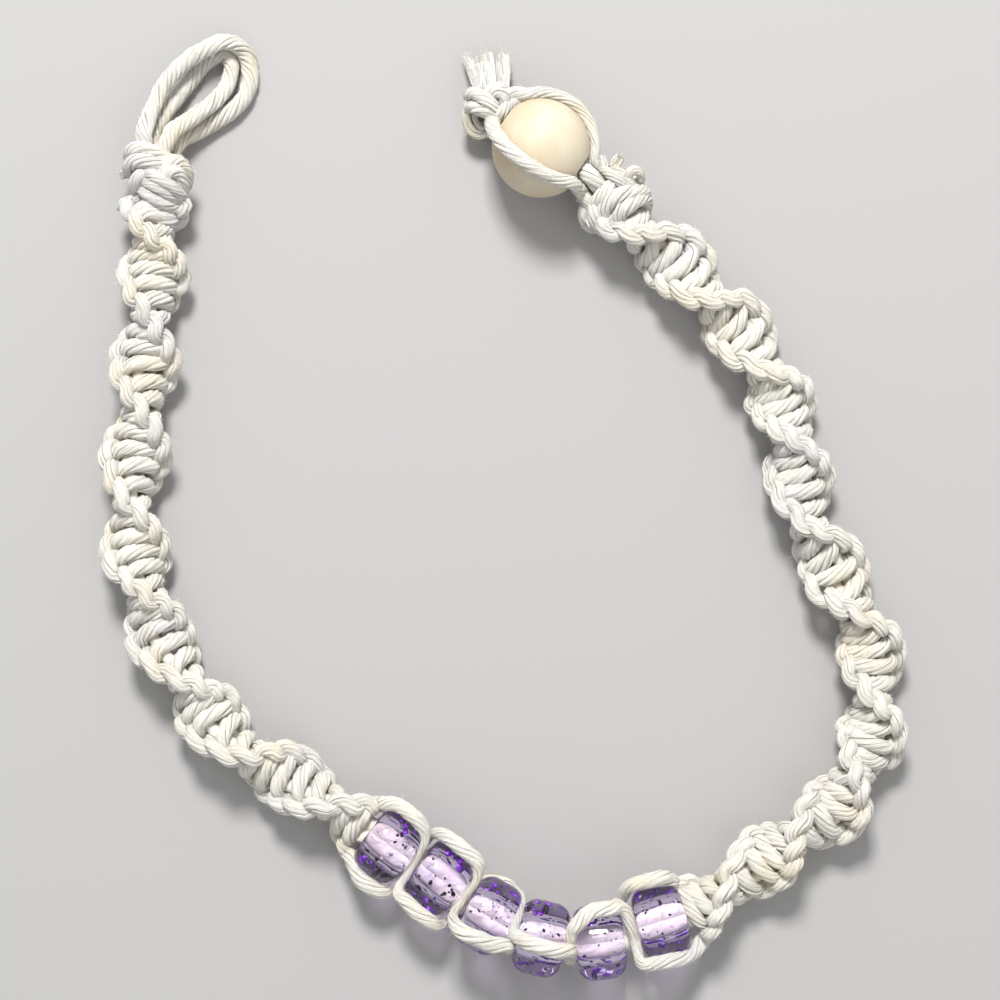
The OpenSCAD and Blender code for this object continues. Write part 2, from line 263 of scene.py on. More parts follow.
# The two working cords past the beads: cord a starts inside the U, cord b outside it. Columns: place
# along the line through the beads, where bead 1 is 1 and the spirals end at 0 and 7, distance from that
# line, angle round it from straight up towards the outside of the U, cord radius
SIDE_CORDS = {
    "a": np.array([
        (0.5, 3.7, -84, 0.94), (0.74, 4.85, -70, 0.92), (1, 5.4, -62, 0.92), (1.2, 5.25, -62, 0.88),
        (1.37, 4.6, -62, 0.78), (1.46, 3.6, -56, 0.6), (1.49, 2.5, -41, 0.5), (1.5, 1.75, 0, 0.48),
        (1.49, 2.7, 42, 0.5), (1.48, 3.9, 55, 0.58), (1.55, 4.75, 58, 0.76), (1.72, 5.2, 58, 0.9),
        (1.95, 5.42, 57, 0.94), (2.17, 5.4, 57, 0.94), (2.35, 5.1, 60, 0.86), (2.47, 4.4, 74, 0.7),
        (2.53, 3.4, 110, 0.54), (2.545, 2.8, 158, 0.5), (2.57, 3.6, 196, 0.6), (2.7, 5.1, 213, 0.85),
        (3, 5.55, 221, 0.96), (3.26, 5.2, 221, 0.83), (3.38, 4.1, 245, 0.58), (3.43, 3.3, 275, 0.5),
        (3.45, 3.1, 315, 0.5), (3.46, 3.6, 345, 0.58), (3.49, 4.4, 357, 0.72), (3.56, 5.0, 359, 0.86),
        (3.7, 5.35, 358, 0.93), (3.85, 5.52, 359, 0.96), (4.05, 5.55, 361, 0.96), (4.25, 5.5, 361, 0.95),
        (4.4, 5.15, 360, 0.88), (4.5, 4.4, 362, 0.76), (4.545, 3.5, 370, 0.6), (4.55, 2.6, 395, 0.52),
        (4.55, 2.2, 450, 0.5), (4.55, 2.6, 505, 0.5), (4.56, 3.4, 545, 0.56), (4.62, 4.4, 560, 0.68),
        (4.75, 5.3, 568, 0.88), (5, 5.55, 573, 0.96), (5.28, 5.2, 576, 0.86), (5.43, 4.5, 590, 0.7),
        (5.52, 3.9, 608, 0.62), (5.59, 4.2, 622, 0.7), (5.68, 4.9, 634, 0.84), (5.8, 5.35, 641, 0.93),
        (6, 5.48, 647, 0.96), (6.3, 5.42, 647, 0.96), (6.6, 4.6, 638, 0.96)]),
    "b": np.array([
        (0.5, 3.8, 88, 0.96), (0.74, 4.95, 82, 0.96), (0.95, 5.42, 76, 0.95), (1.14, 5.42, 74, 0.95),
        (1.32, 5.0, 78, 0.88), (1.44, 4.2, 94, 0.7), (1.5, 3.2, 128, 0.54), (1.505, 2.2, 172, 0.5),
        (1.51, 2.7, 224, 0.5), (1.53, 3.7, 262, 0.6), (1.6, 4.4, 281, 0.78), (1.72, 5.0, 293, 0.88),
        (1.88, 5.4, 299, 0.92), (2.08, 5.42, 300, 0.92), (2.26, 5.15, 299, 0.88), (2.39, 4.4, 298, 0.76),
        (2.47, 3.4, 303, 0.56), (2.495, 2.3, 325, 0.5), (2.5, 1.8, 360, 0.48), (2.5, 2.6, 381, 0.5),
        (2.51, 3.6, 392, 0.56), (2.57, 4.5, 392, 0.74), (2.68, 5.2, 389, 0.9), (2.82, 5.5, 387, 0.96),
        (3, 5.55, 384, 0.96), (3.2, 5.55, 381, 0.96), (3.38, 5.3, 376, 0.88), (3.47, 4.8, 377, 0.78),
        (3.53, 3.9, 386, 0.6), (3.545, 2.8, 420, 0.5), (3.55, 2.3, 470, 0.48), (3.56, 3.0, 520, 0.52),
        (3.62, 4.3, 550, 0.66), (3.75, 5.3, 563, 0.86), (4, 5.55, 569, 0.96), (4.26, 5.3, 563, 0.85),
        (4.4, 4.2, 545, 0.62), (4.46, 3.0, 515, 0.5), (4.485, 2.2, 470, 0.5), (4.49, 2.1, 425, 0.5),
        (4.48, 2.7, 385, 0.54), (4.475, 3.6, 350, 0.62), (4.49, 4.4, 333, 0.74), (4.54, 5.0, 328, 0.86),
        (4.63, 5.3, 320, 0.93), (4.75, 5.45, 313, 0.95), (4.93, 5.52, 308, 0.96), (5.16, 5.54, 307, 0.96),
        (5.34, 5.4, 307, 0.96), (5.46, 5.05, 308, 0.93), (5.535, 4.4, 312, 0.86), (5.555, 3.5, 323, 0.74),
        (5.535, 2.5, 345, 0.68), (5.52, 2.0, 375, 0.66), (5.505, 2.6, 401, 0.64), (5.49, 3.5, 412, 0.68),
        (5.5, 4.3, 414, 0.76), (5.57, 4.85, 413, 0.86), (5.68, 5.2, 412, 0.92), (5.85, 5.42, 412, 0.95),
        (6.1, 5.42, 414, 0.96), (6.4, 5.1, 426, 0.96), (6.65, 4.6, 443, 0.96)])}

# Outer cord of the button loop. Columns: x, y, z
LOOP_OUTER = np.array([
    (-42.9, 42.0, 5.6), (-43.2, 44.6, 5.4), (-42.9, 46.2, 4.7), (-42.2, 48.3, 4.1),
    (-40.9, 51.1, 3.5), (-38.7, 53.5, 3.3), (-36.0, 55.3, 3.4), (-34.1, 56.1, 3.3),
    (-32.6, 56.0, 2.6), (-31.4, 55.1, 1.7), (-30.9, 53.5, 1.1), (-30.9, 51.6, 1.05),
    (-31.6, 49.7, 1.05), (-32.9, 48.3, 1.05), (-34.6, 47.2, 1.05), (-36.5, 46.0, 1.2),
    (-38.1, 45.1, 1.7), (-39.1, 44.5, 2.2), (-40.3, 42.6, 3.0)])

# Inner cord of the button loop. Columns: x, y, z
LOOP_INNER = np.array([
    (-42.1, 42.4, 3.4), (-42.4, 44.6, 3.1), (-41.9, 46.2, 2.5), (-40.9, 48.0, 1.8),
    (-39.7, 49.7, 1.2), (-38.4, 51.4, 1.05), (-36.9, 53.4, 1.05), (-35.4, 54.7, 1.05),
    (-34.0, 54.9, 1.05), (-33.2, 53.9, 1.05), (-33.3, 52.3, 1.15), (-33.8, 50.8, 1.6),
    (-34.8, 49.4, 2.3), (-36.1, 48.1, 3.1), (-37.6, 46.9, 3.6), (-39.0, 45.9, 4.2),
    (-39.9, 45.0, 4.8), (-41.0, 42.6, 5.2)])

# Strands of the knot under the button loop, each from one hidden end to the other. Columns: x, y, z
LOOP_KNOT = [np.array(strand) for strand in (
    [(-39.6, 41.0, 5.0), (-40.3, 41.5, 6.3), (-41.4, 42.1, 7.0), (-42.7, 42.6, 7.3), (-43.9, 42.7, 6.8),
     (-44.7, 42.3, 5.6), (-44.9, 41.9, 4.0), (-44.3, 41.7, 2.2), (-42.9, 41.6, 1.1), (-41.0, 41.4, 1.0),
     (-39.5, 41.2, 1.7)],
    [(-39.8, 39.9, 5.4), (-40.8, 40.5, 6.9), (-41.7, 40.9, 7.5), (-42.7, 41.15, 7.7), (-43.8, 41.2, 7.2),
     (-44.7, 40.9, 5.9), (-45.0, 40.5, 4.1), (-44.5, 40.2, 2.3), (-43.1, 40.0, 1.1), (-41.0, 39.9, 1.0),
     (-39.2, 39.9, 1.6)],
    [(-41.5, 40.3, 5.6), (-42.5, 40.0, 6.8), (-43.5, 39.4, 6.9), (-44.2, 38.6, 5.9), (-44.4, 37.9, 4.2),
     (-44.0, 37.5, 2.4), (-42.8, 37.4, 1.1), (-40.6, 37.8, 1.0)],
    [(-41.6, 39.0, 5.6), (-40.8, 39.9, 7.0), (-40.0, 40.9, 7.1), (-39.1, 41.2, 6.5), (-38.4, 40.7, 5.5),
     (-38.2, 39.8, 4.5), (-38.4, 38.8, 3.3), (-39.2, 38.1, 2.1)],
    [(-41.1, 38.5, 5.8), (-40.4, 39.3, 7.3), (-39.7, 39.95, 7.5), (-39.0, 39.8, 6.9), (-38.6, 39.0, 6.0),
     (-38.7, 38.2, 4.8), (-39.4, 37.6, 3.4)],
    [(-43.4, 40.1, 5.8), (-42.3, 39.75, 7.3), (-41.0, 39.0, 7.75), (-39.8, 38.3, 7.1), (-39.0, 37.6, 5.8),
     (-38.8, 37.1, 4.1), (-39.2, 36.9, 2.3), (-40.6, 37.0, 1.2)],
    [(-43.5, 38.3, 4.9), (-43.0, 38.8, 6.4), (-41.9, 38.3, 7.4), (-40.7, 37.6, 7.1), (-39.8, 37.0, 5.9),
     (-39.4, 36.5, 4.2), (-39.8, 36.4, 2.4)],
    [(-43.5, 38.5, 4.7), (-43.1, 37.9, 6.0), (-42.3, 37.1, 6.8), (-41.3, 36.5, 6.8), (-40.3, 36.1, 5.9),
     (-39.7, 35.9, 4.4), (-40.1, 36.0, 2.8), (-41.4, 36.4, 1.6)],
    [(-42.6, 41.0, 4.2), (-41.4, 39.6, 4.4), (-40.4, 38.2, 4.4), (-41.6, 37.2, 4.2)])]
LOOP_KNOT_R = (0.92, 0.94, 0.9, 0.9, 0.92, 0.78, 0.68, 0.76, 1.6)

WOOD = np.array([4.5, 42.9, 5.95])
WOOD_D = 11.8
WOOD_BORE = 4.4
WOOD_AXIS = 146
WOOD_GRAIN = 100

# The two working cords round the wooden bead. Columns: angle from straight up, cord radius where the
# cord meets the bead and where it leaves it, angles from the bore at which it meets and leaves
WOOD_SIDES = ((-88, 0.62, 0.8, 160, 40), (28, 0.84, 0.92, 146, 26))

# Strands of the knot past the wooden bead: the two broad ones across it, the thin ones that loop round
# its lower left, the ones that curl to its right, and the ones beneath. Columns: x, y, z, radius
END_KNOT = [np.array(strand) for strand in (
    [(-3.9, 49.0, 2.6, 0.8), (-4.1, 49.5, 3.8, 0.8), (-3.6, 49.6, 5.2, 0.86), (-2.7, 49.1, 6.2, 0.92),
     (-1.8, 48.4, 6.6, 0.92), (-1.1, 47.5, 6.0, 0.86), (-0.9, 46.8, 4.8, 0.8), (-1.2, 46.4, 3.4, 0.8)],
    [(-3.9, 47.2, 2.4, 0.7), (-4.2, 47.8, 3.6, 0.72), (-3.7, 48.0, 5.0, 0.78), (-2.9, 47.6, 5.8, 0.82),
     (-2.0, 47.2, 6.0, 0.8), (-1.4, 46.7, 5.2, 0.74), (-1.3, 46.2, 4.0, 0.7)],
    [(-3.4, 50.0, 3.4, 0.5), (-4.1, 49.0, 4.0, 0.46), (-4.6, 47.6, 3.9, 0.38), (-4.72, 46.5, 3.6, 0.34),
     (-4.35, 45.5, 3.3, 0.34), (-3.5, 44.9, 3.1, 0.38), (-2.5, 44.8, 3.1, 0.44), (-1.9, 45.4, 3.4, 0.5)],
    [(-3.8, 48.2, 3.8, 0.44), (-4.2, 47.2, 3.9, 0.38), (-4.15, 46.4, 3.7, 0.32), (-3.75, 45.75, 3.5, 0.32),
     (-3.1, 45.3, 3.3, 0.36), (-2.3, 45.3, 3.4, 0.4)],
    [(-3.2, 47.6, 4.6, 0.46), (-3.4, 46.7, 4.4, 0.42), (-3.0, 46.0, 4.0, 0.4), (-2.4, 45.6, 3.6, 0.44)],
    [(-4.4, 47.6, 2.8, 0.5), (-4.3, 46.4, 2.3, 0.5), (-3.5, 45.5, 1.9, 0.55), (-2.4, 45.2, 1.9, 0.6),
     (-1.6, 45.6, 2.4, 0.6)],
    [(-2.0, 48.8, 4.6, 0.72), (-1.8, 49.8, 5.0, 0.74), (-0.9, 50.3, 5.0, 0.78), (0.1, 49.9, 4.8, 0.8),
     (0.5, 48.9, 4.6, 0.8), (0.2, 47.9, 4.2, 0.74), (-0.3, 47.1, 3.4, 0.7)],
    [(-1.4, 48.9, 5.4, 0.7), (-0.8, 49.6, 6.1, 0.72), (0.0, 49.2, 6.1, 0.72), (0.1, 48.3, 5.6, 0.7),
     (-0.3, 47.4, 4.8, 0.66)],
    [(-4.0, 48.4, 1.4, 0.85), (-3.2, 49.6, 1.1, 0.85), (-1.6, 49.8, 1.0, 0.85), (-0.1, 49.0, 1.1, 0.85),
     (0.0, 47.5, 1.3, 0.85), (-1.1, 46.4, 1.2, 0.85), (-2.6, 46.2, 1.1, 0.85), (-3.8, 47.0, 1.2, 0.85)],
    [(0.5, 48.5, 5.0, 0.66), (0.3, 47.7, 6.3, 0.72), (-0.2, 46.9, 6.6, 0.74), (-0.8, 46.3, 5.8, 0.7),
     (-1.1, 46.0, 4.6, 0.66)],
    [(3.0, 49.3, 5.2, 0.5), (2.0, 48.95, 5.5, 0.62), (1.2, 48.4, 5.5, 0.66), (0.5, 47.6, 5.2, 0.62),
     (0.0, 46.9, 4.4, 0.55)],
    [(-3.2, 48.6, 2.9, 1.2), (-1.9, 48.3, 3.6, 1.4), (-0.6, 48.4, 3.0, 1.2)])]

# Strands of the last knots before the wooden bead, which are slacker than the rest. Columns: x, y, z,
# radius
LAST_KNOTS = [np.array(strand) for strand in (
    [(11.7, 37.6, 4.6, 0.9), (11.4, 38.2, 6.6, 0.98), (10.5, 39.2, 7.5, 1.06), (9.7, 40.0, 6.9, 1.02),
     (9.3, 40.3, 5.3, 0.94), (9.5, 39.9, 3.6, 0.9), (10.3, 38.9, 2.2, 0.9)],
    [(10.0, 35.3, 4.2, 0.8), (10.7, 35.9, 6.0, 0.86), (11.6, 36.9, 7.4, 0.92), (12.5, 37.9, 7.5, 0.9),
     (13.2, 38.5, 6.5, 0.82), (13.6, 38.6, 5.0, 0.8)],
    [(9.0, 38.6, 3.6, 0.7), (8.9, 38.0, 5.0, 0.74), (9.5, 37.3, 6.1, 0.78), (10.2, 36.5, 6.2, 0.76),
     (10.4, 35.9, 5.0, 0.7)],
    [(11.6, 40.3, 5.4, 0.6), (12.2, 40.0, 7.0, 0.66), (13.2, 39.2, 7.9, 0.7), (14.1, 38.4, 7.7, 0.7),
     (14.8, 37.6, 6.4, 0.66), (15.0, 37.0, 4.8, 0.66)],
    [(12.8, 40.6, 5.6, 0.56), (13.4, 40.2, 6.6, 0.6), (14.3, 39.4, 7.3, 0.64), (15.1, 38.5, 7.2, 0.66),
     (15.8, 37.7, 6.0, 0.66), (16.0, 36.9, 4.4, 0.66)],
    [(14.4, 38.2, 6.4, 0.6), (14.7, 39.3, 7.5, 0.62), (15.5, 40.0, 7.9, 0.6), (16.3, 39.7, 7.4, 0.56),
     (16.4, 38.9, 6.6, 0.52)],
    [(17.0, 36.6, 3.4, 0.86), (16.9, 37.5, 5.2, 0.9), (15.9, 37.6, 7.1, 0.98), (14.5, 37.2, 7.9, 1.04),
     (13.1, 36.6, 7.8, 1.04), (12.1, 35.6, 7.1, 0.98), (12.1, 34.5, 6.0, 0.94), (13.0, 33.6, 4.6, 0.9),
     (14.0, 33.2, 3.0, 0.9)],
    [(11.4, 36.6, 5.8, 0.84), (11.0, 35.7, 6.6, 0.92), (11.1, 34.6, 6.3, 0.96), (11.6, 33.7, 5.0, 0.92),
     (12.3, 33.4, 3.3, 0.88), (13.4, 34.0, 2.0, 0.86)],
    [(10.6, 36.6, 4.4, 0.8), (9.9, 35.9, 5.2, 0.86), (9.8, 34.9, 4.9, 0.9), (10.3, 34.0, 3.7, 0.86),
     (11.2, 33.9, 2.3, 0.84), (12.4, 34.8, 1.4, 0.84)],
    [(17.2, 36.3, 3.8, 0.86), (16.9, 36.9, 5.6, 0.9), (16.0, 36.6, 7.1, 0.96), (14.9, 35.9, 7.8, 1.0),
     (14.0, 35.1, 7.5, 0.98), (13.8, 34.1, 6.4, 0.94), (14.6, 33.2, 5.0, 0.9), (15.6, 32.9, 3.4, 0.88)],
    [(10.6, 38.6, 1.7, 0.85), (12.4, 38.9, 1.2, 0.85), (14.2, 38.2, 1.2, 0.85), (15.6, 36.8, 1.6, 0.85)],
    [(9.4, 37.6, 2.2, 0.85), (10.9, 36.6, 1.1, 0.85), (12.8, 36.6, 1.0, 0.85), (14.6, 35.6, 1.1, 0.85)])]

# Brushes of fibres at cut cord ends: the tail's four, two at the last knots, one at the loop knot.
# Columns: x, y, z and radius of the root, then of the tip
TAIL = np.array([
    (-3.1, 50.2, 3.3, 0.36, -4.5, 54.9, 1.5, 0.38), (-2.9, 50.2, 3.3, 0.34, -3.5, 54.2, 1.7, 0.36),
    (-1.6, 50.2, 2.9, 0.74, -2.1, 55.1, 1.5, 0.56), (0.0, 50.1, 2.8, 0.68, -0.05, 55.0, 1.5, 0.68)])
STUB_BRUSHES = np.array([
    (12.0, 40.1, 6.6, 0.5, 11.5, 41.6, 6.6, 0.62), (13.0, 40.4, 6.4, 0.46, 14.0, 41.8, 6.5, 0.42),
    (-45.3, 40.1, 3.8, 0.26, -46.1, 40.0, 3.6, 0.3)])

# The ways of the two working cords. Columns: letter, the side on which its first knot of the right
# spiral starts, its row of WOOD_SIDES and the solid there, seeds of its spirals and of its yarns
WORKING_CORDS = (("a", -1, 1, "wooden_side_b", 9, 21, 31), ("b", 1, 0, "wooden_side_a", 11, 19, 29))

# Hidden stretches of the cords: all four into the loop knot, the working cords from the last knots to
# the wooden bead and past it into the end knot. Columns: x, y, z. Then the distance of the working
# cords and of the fillers from the way into the knot, and the working cords' radius on each stretch,
# the last one as what is added to the radius before it
INTO_KNOT = np.array([(-41.6, 41.0, 4.6), (-41.8, 39.0, 4.4)])
BEFORE_WOOD = {"a": [(12.4, 36.6, 4.0), (10.8, 37.1, 4.2), (9.5, 37.6, 6.2)],
               "b": [(12.8, 37.6, 4.2), (11.8, 38.8, 4.4), (11.2, 40.0, 5.1)]}
PAST_WOOD = {"a": [(-1.2, 46.4, 3.6)], "b": [(1.3, 49.55, 5.3), (0.3, 49.1, 5.0), (-0.8, 48.5, 4.6)]}
WORKING_ENTRY = 0.6
FILLER_ENTRY = 0.8
ENTRY_R = 0.85
BEFORE_WOOD_R = 0.8
PAST_WOOD_MORE = 0.08

# Fillers in the wooden bead: radius, distance from the bore's middle, and their way through it as
# places along the bore and drops below it
WOOD_FILLER_R = 0.78
WOOD_FILLER_OUT = 0.72
WOOD_FILLER_WAY = ((-5.5, 0), (0, 0), (5.6, 0.2), (6.6, 1.8))

# Skins on which loose fibres may stand: rings of points, directions out of the cord and along it
HAIR_ROOTS = []


def unit(v):
    """Each vector divided by its length."""
    return v / np.linalg.norm(v, axis=-1, keepdims=True)


def square_to(direction, other):
    """Two directions square to one and to each other, the first of them square to the other one too."""
    first = unit(np.cross(direction, other))
    return first, np.cross(direction, first)


def toward(angle, first, second):
    """Direction at an angle from the first one towards the second."""
    return np.cos(angle)[..., None] * first + np.sin(angle)[..., None] * second


def full_turn(count):
    """Angles at even steps round a circle."""
    return 2 * np.pi * np.arange(count) / count


def mirrored(v, normal):
    """Vectors mirrored in the planes square to the normals."""
    size = np.maximum((normal ** 2).sum(1, keepdims=True), 1e-12)
    return v - 2 * (normal * v).sum(1, keepdims=True) / size * normal


def heading(degrees):
    """Level direction at an angle from x towards y."""
    angle = np.radians(degrees)
    return np.stack([np.cos(angle), np.sin(angle), 0 * angle], -1)


WOOD_WAY = heading(WOOD_AXIS)


def smooth(rows, u):
    """Smooth curve through the rows of a table, where u counts rows: a cubic between each two rows,
    whose slope at a row is half the step from the row before to the row after."""
    u = np.atleast_1d(np.asarray(u, float))
    last = len(rows) - 1
    i = np.clip(np.floor(u).astype(int), 0, last - 1)
    t = (u - i)[:, None]
    a, b = rows[np.maximum(i - 1, 0)], rows[i]
    c, d = rows[i + 1], rows[np.minimum(i + 2, last)]
    return 0.5 * (2 * b + (c - a) * t + (2 * a - 5 * b + 4 * c - d) * t ** 2
                  + (3 * b - a - 3 * c + d) * t ** 3)


def lengths(points):
    """Distance along a line of points, from its first point to each point."""
    return np.concatenate([[0], np.cumsum(np.linalg.norm(np.diff(points, axis=0), axis=1))])


def even(points, step):
    """The smooth curve through the points, cut at even steps of its length."""
    fine = smooth(np.asarray(points, float), np.linspace(0, len(points) - 1, 10 * len(points)))
    s = lengths(fine)
    stops = np.linspace(0, s[-1], max(3, int(round(s[-1] / step)) + 1))
    return np.stack([np.interp(stops, s, fine[:, k]) for k in range(fine.shape[1])], -1)


def frames_along(points):
    """Tangent, normal and binormal at each point, turning as little as they can. Any normals are
    picked first; the angle from each one, carried on over two mirror planes, to the next one is
    worked out for all points at once, and the running sum of these angles turns them into line."""
    tangent = unit(np.gradient(points, axis=0))
    normal, binormal = square_to(tangent, np.eye(3)[np.abs(tangent).argmin(1)])
    step = np.diff(points, axis=0)
    other = tangent[1:] - mirrored(tangent[:-1], step)
    carried = mirrored(mirrored(normal[:-1], step), other)
    angle = np.arctan2((carried * binormal[1:]).sum(1), (carried * normal[1:]).sum(1))
    turn = np.concatenate([[0], np.cumsum(angle)])
    return tangent, toward(turn, normal, binormal), toward(turn, binormal, -normal)


def wander(rng, count, spacing, size, columns=1):
    """Columns of smooth random values for count points, with a new random value every spacing points."""
    knots = rng.normal(0, size, (max(4, int(count / spacing) + 4), columns))
    return smooth(knots, np.linspace(1, len(knots) - 2, count))


def walls(sides):
    """Faces between two rings of points, where the second ring is numbered on from the first."""
    return [(k, (k + 1) % sides, sides + (k + 1) % sides, sides + k) for k in range(sides)]


def corners(rows, sides):
    """Row and side of the four corners of each face between rings of points, where the row past the
    last and the side past the last are counted on."""
    row, side = np.meshgrid(np.arange(rows), np.arange(sides), indexing="ij")
    return (np.stack([row, row, row + 1, row + 1], -1).reshape(-1, 4),
            np.stack([side, side + 1, side + 1, side], -1).reshape(-1, 4))


class Skin:
    """Collects surfaces, as whole arrays of points, faces and map places, into one mesh. A face whose
    last two corners are the same is a triangle."""

    def __init__(self):
        self.points, self.faces, self.maps, self.count = [], [], [], 0

    def add(self, points, faces, maps):
        self.points.append(points)
        self.faces.append(faces + self.count)
        self.maps.append(maps)
        self.count += len(points)

    def copies(self, points, faces, place):
        """Adds one small shape many times: the points of each copy, the faces of the shape, and the
        map place of each copy."""
        count, each = points.shape[:2]
        numbers = np.array(faces) + each * np.arange(count)[:, None, None]
        places = np.broadcast_to(place[:, None, None], (*numbers.shape, 2))
        self.add(points.reshape(-1, 3), numbers.reshape(-1, 4), places.reshape(-1, 4, 2))

    def tube(self, rings, along, around):
        """Closed skin over a grid of rings by sides, with a fan of triangles at each end. The map's
        first column is along, the second is around, which has one value more than a ring has points."""
        count, sides = rings.shape[:2]
        row, side = corners(count - 1, sides)
        k = np.arange(sides)
        beside = (k + 1) % sides
        low, high, last = count * sides, count * sides + 1, (count - 1) * sides
        ends = [np.stack([np.full(sides, low), beside, k, k], -1),
                np.stack([np.full(sides, high), last + k, last + beside, last + beside], -1)]
        flat = np.zeros((2 * sides, 4, 2))
        flat[:sides, :, 0] = along[0]
        flat[sides:, :, 0] = along[-1]
        flat[:, :, 1] = np.tile(around[:-1], 2)[:, None]
        self.add(np.concatenate([rings.reshape(-1, 3), rings[0].mean(0)[None], rings[-1].mean(0)[None]]),
                 np.concatenate([row * sides + side % sides, *ends]),
                 np.concatenate([np.stack([along[row], around[side]], -1), flat]))

    def turned(self, profile, sides, centre, axis):
        """Closed surface of revolution: each profile row is a place along the axis and a radius, and
        goes round the axis as a ring. The last ring joins the first."""
        ring = toward(full_turn(sides), *square_to(axis, UP))
        points = centre + profile[:, :1, None] * axis + profile[:, 1:, None] * ring
        row, side = (number[:, [0, 3, 2, 1]] for number in corners(len(profile), sides))
        self.add(points.reshape(-1, 3), row % len(profile) * sides + side % sides,
                 np.stack([row, side], -1) / 10)

    def build(self, name, material, slot, shade=True):
        """The mesh as an object in metres, which rides on the root."""
        points = np.concatenate(self.points) * MM
        faces = np.concatenate(self.faces)
        maps = np.concatenate(self.maps)
        keep = np.ones(faces.shape, bool)
        keep[:, 3] = faces[:, 2] != faces[:, 3]
        totals = keep.sum(1)
        starts = np.cumsum(totals) - totals
        mesh = bpy.data.meshes.new(name)
        mesh.vertices.add(len(points))
        mesh.vertices.foreach_set("co", points.astype(np.float32).ravel())
        mesh.loops.add(int(totals.sum()))
        mesh.loops.foreach_set("vertex_index", faces[keep].astype(np.int32))
        mesh.polygons.add(len(faces))
        mesh.polygons.foreach_set("loop_start", starts.astype(np.int32))
        mesh.polygons.foreach_set("loop_total", totals.astype(np.int32))
        layer = mesh.uv_layers.new(name="yarn")
        layer.data.foreach_set("uv", maps[keep].astype(np.float32).ravel())
        mesh.update(calc_edges=True)
        mesh.validate()
        if shade:
            mesh.shade_smooth()
        mesh.materials.append(material)
        piece = bpy.data.objects.new(name, mesh)
        bpy.context.scene.collection.objects.link(piece)
        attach(piece, "root")
        return piece


def plain_map(sides):
    """The map's second column round a ring that shows no groove: it keeps clear of whole numbers."""
    return 0.2 + 0.6 * np.arange(sides + 1) / sides


def lay_cord(stretches, seed, lay=LAY, step=RING_STEP, hidden=False):
    """Adds a laid cord along stretches, each a skin with rows of x, y, z and radius. Its section is a
    circle with a groove between each two yarns, turned to the left as it goes, one turn each lay. Its
    radius wanders a little, and so do each yarn's height, each groove's depth, which some grooves
    start with more of than others, and the skin's height at each point. Each stretch goes into its
    own skin, and two that follow each other share the ring between them. A hidden cord is smoother,
    its map shows no groove, and it has no loose fibres."""
    rng = np.random.default_rng(seed)
    rows = np.concatenate([r for _, r in stretches])
    cuts = np.cumsum([len(r) for _, r in stretches]) - 0.5
    line = even(np.column_stack([rows, np.arange(len(rows))]), step)
    path = line[:, :3]
    tangent, normal, binormal = frames_along(path)
    s = lengths(path)
    points_each = len(YARN_DEPTH)
    sides = YARNS * points_each
    count = len(path)
    share = np.tile(YARN_DEPTH, YARNS)
    nearest = (np.arange(sides) + points_each // 2) // points_each % YARNS
    size = line[:, 3:4] * (1 + wander(rng, count, *THICKNESS_WANDER))
    gap = rng.uniform(*GROOVE_START, YARNS) + wander(rng, count, *GROOVE_WANDER, YARNS)
    gap = np.clip(gap, *GROOVE_LIMITS)[:, nearest]
    yarn = np.repeat(wander(rng, count, *YARN_WANDER, YARNS), points_each, axis=1)
    lift = (yarn + wander(rng, count, *SKIN_WANDER, sides)) * (1 - share)
    angle = full_turn(sides) - 2 * np.pi * s[:, None] / lay + wander(rng, count, *TWIST_WANDER)
    r = size * (1 - (HIDDEN_GROOVE if hidden else GROOVE) * gap * share + lift)
    out = toward(angle, normal[:, None], binormal[:, None])
    rings = path[:, None] + r[..., None] * out
    along = s + rng.uniform(0, MAP_SHIFT)
    around = YARNS * rng.integers(0, MAP_YARNS) + np.arange(sides + 1) / points_each
    if hidden:
        around = plain_map(sides)
    first = 0
    for (skin, _), cut in zip(stretches, cuts):
        last = count - 1 if cut >= cuts[-1] else int(np.searchsorted(line[:, 4], cut))
        skin.tube(rings[first:last + 1], along[first:last + 1], around)
        first = last
    if not hidden:
        HAIR_ROOTS.append((rings, out, tangent))


def with_radius(points, radius):
    """Rows of x, y, z and radius."""
    return np.column_stack([points, np.broadcast_to(radius, len(points))])


def spiral_points(rows, across, out, knots):
    """Points on a spiral, given in millimetres across the band and out of its face, and along it in
    half knots from its start. The band turns left by a quarter for each row of its middle line."""
    quarter = knots / KNOTS_PER_QUARTER
    whole, turns = rows[-2, 3], rows[-1, 3]
    u = np.where(quarter <= whole, quarter, whole + (quarter - whole) / (turns - whole))
    middle = smooth(rows[:, :3], u)
    tangent = unit(smooth(rows[:, :3], u + 0.1) - smooth(rows[:, :3], u - 0.1))
    side, high = square_to(tangent, -UP)
    turn = -(np.pi / 2 * quarter + LEAN)
    wide, thin = toward(turn, side, high), toward(turn, high, -side)
    return middle + across[:, None] * wide + out[:, None] * thin


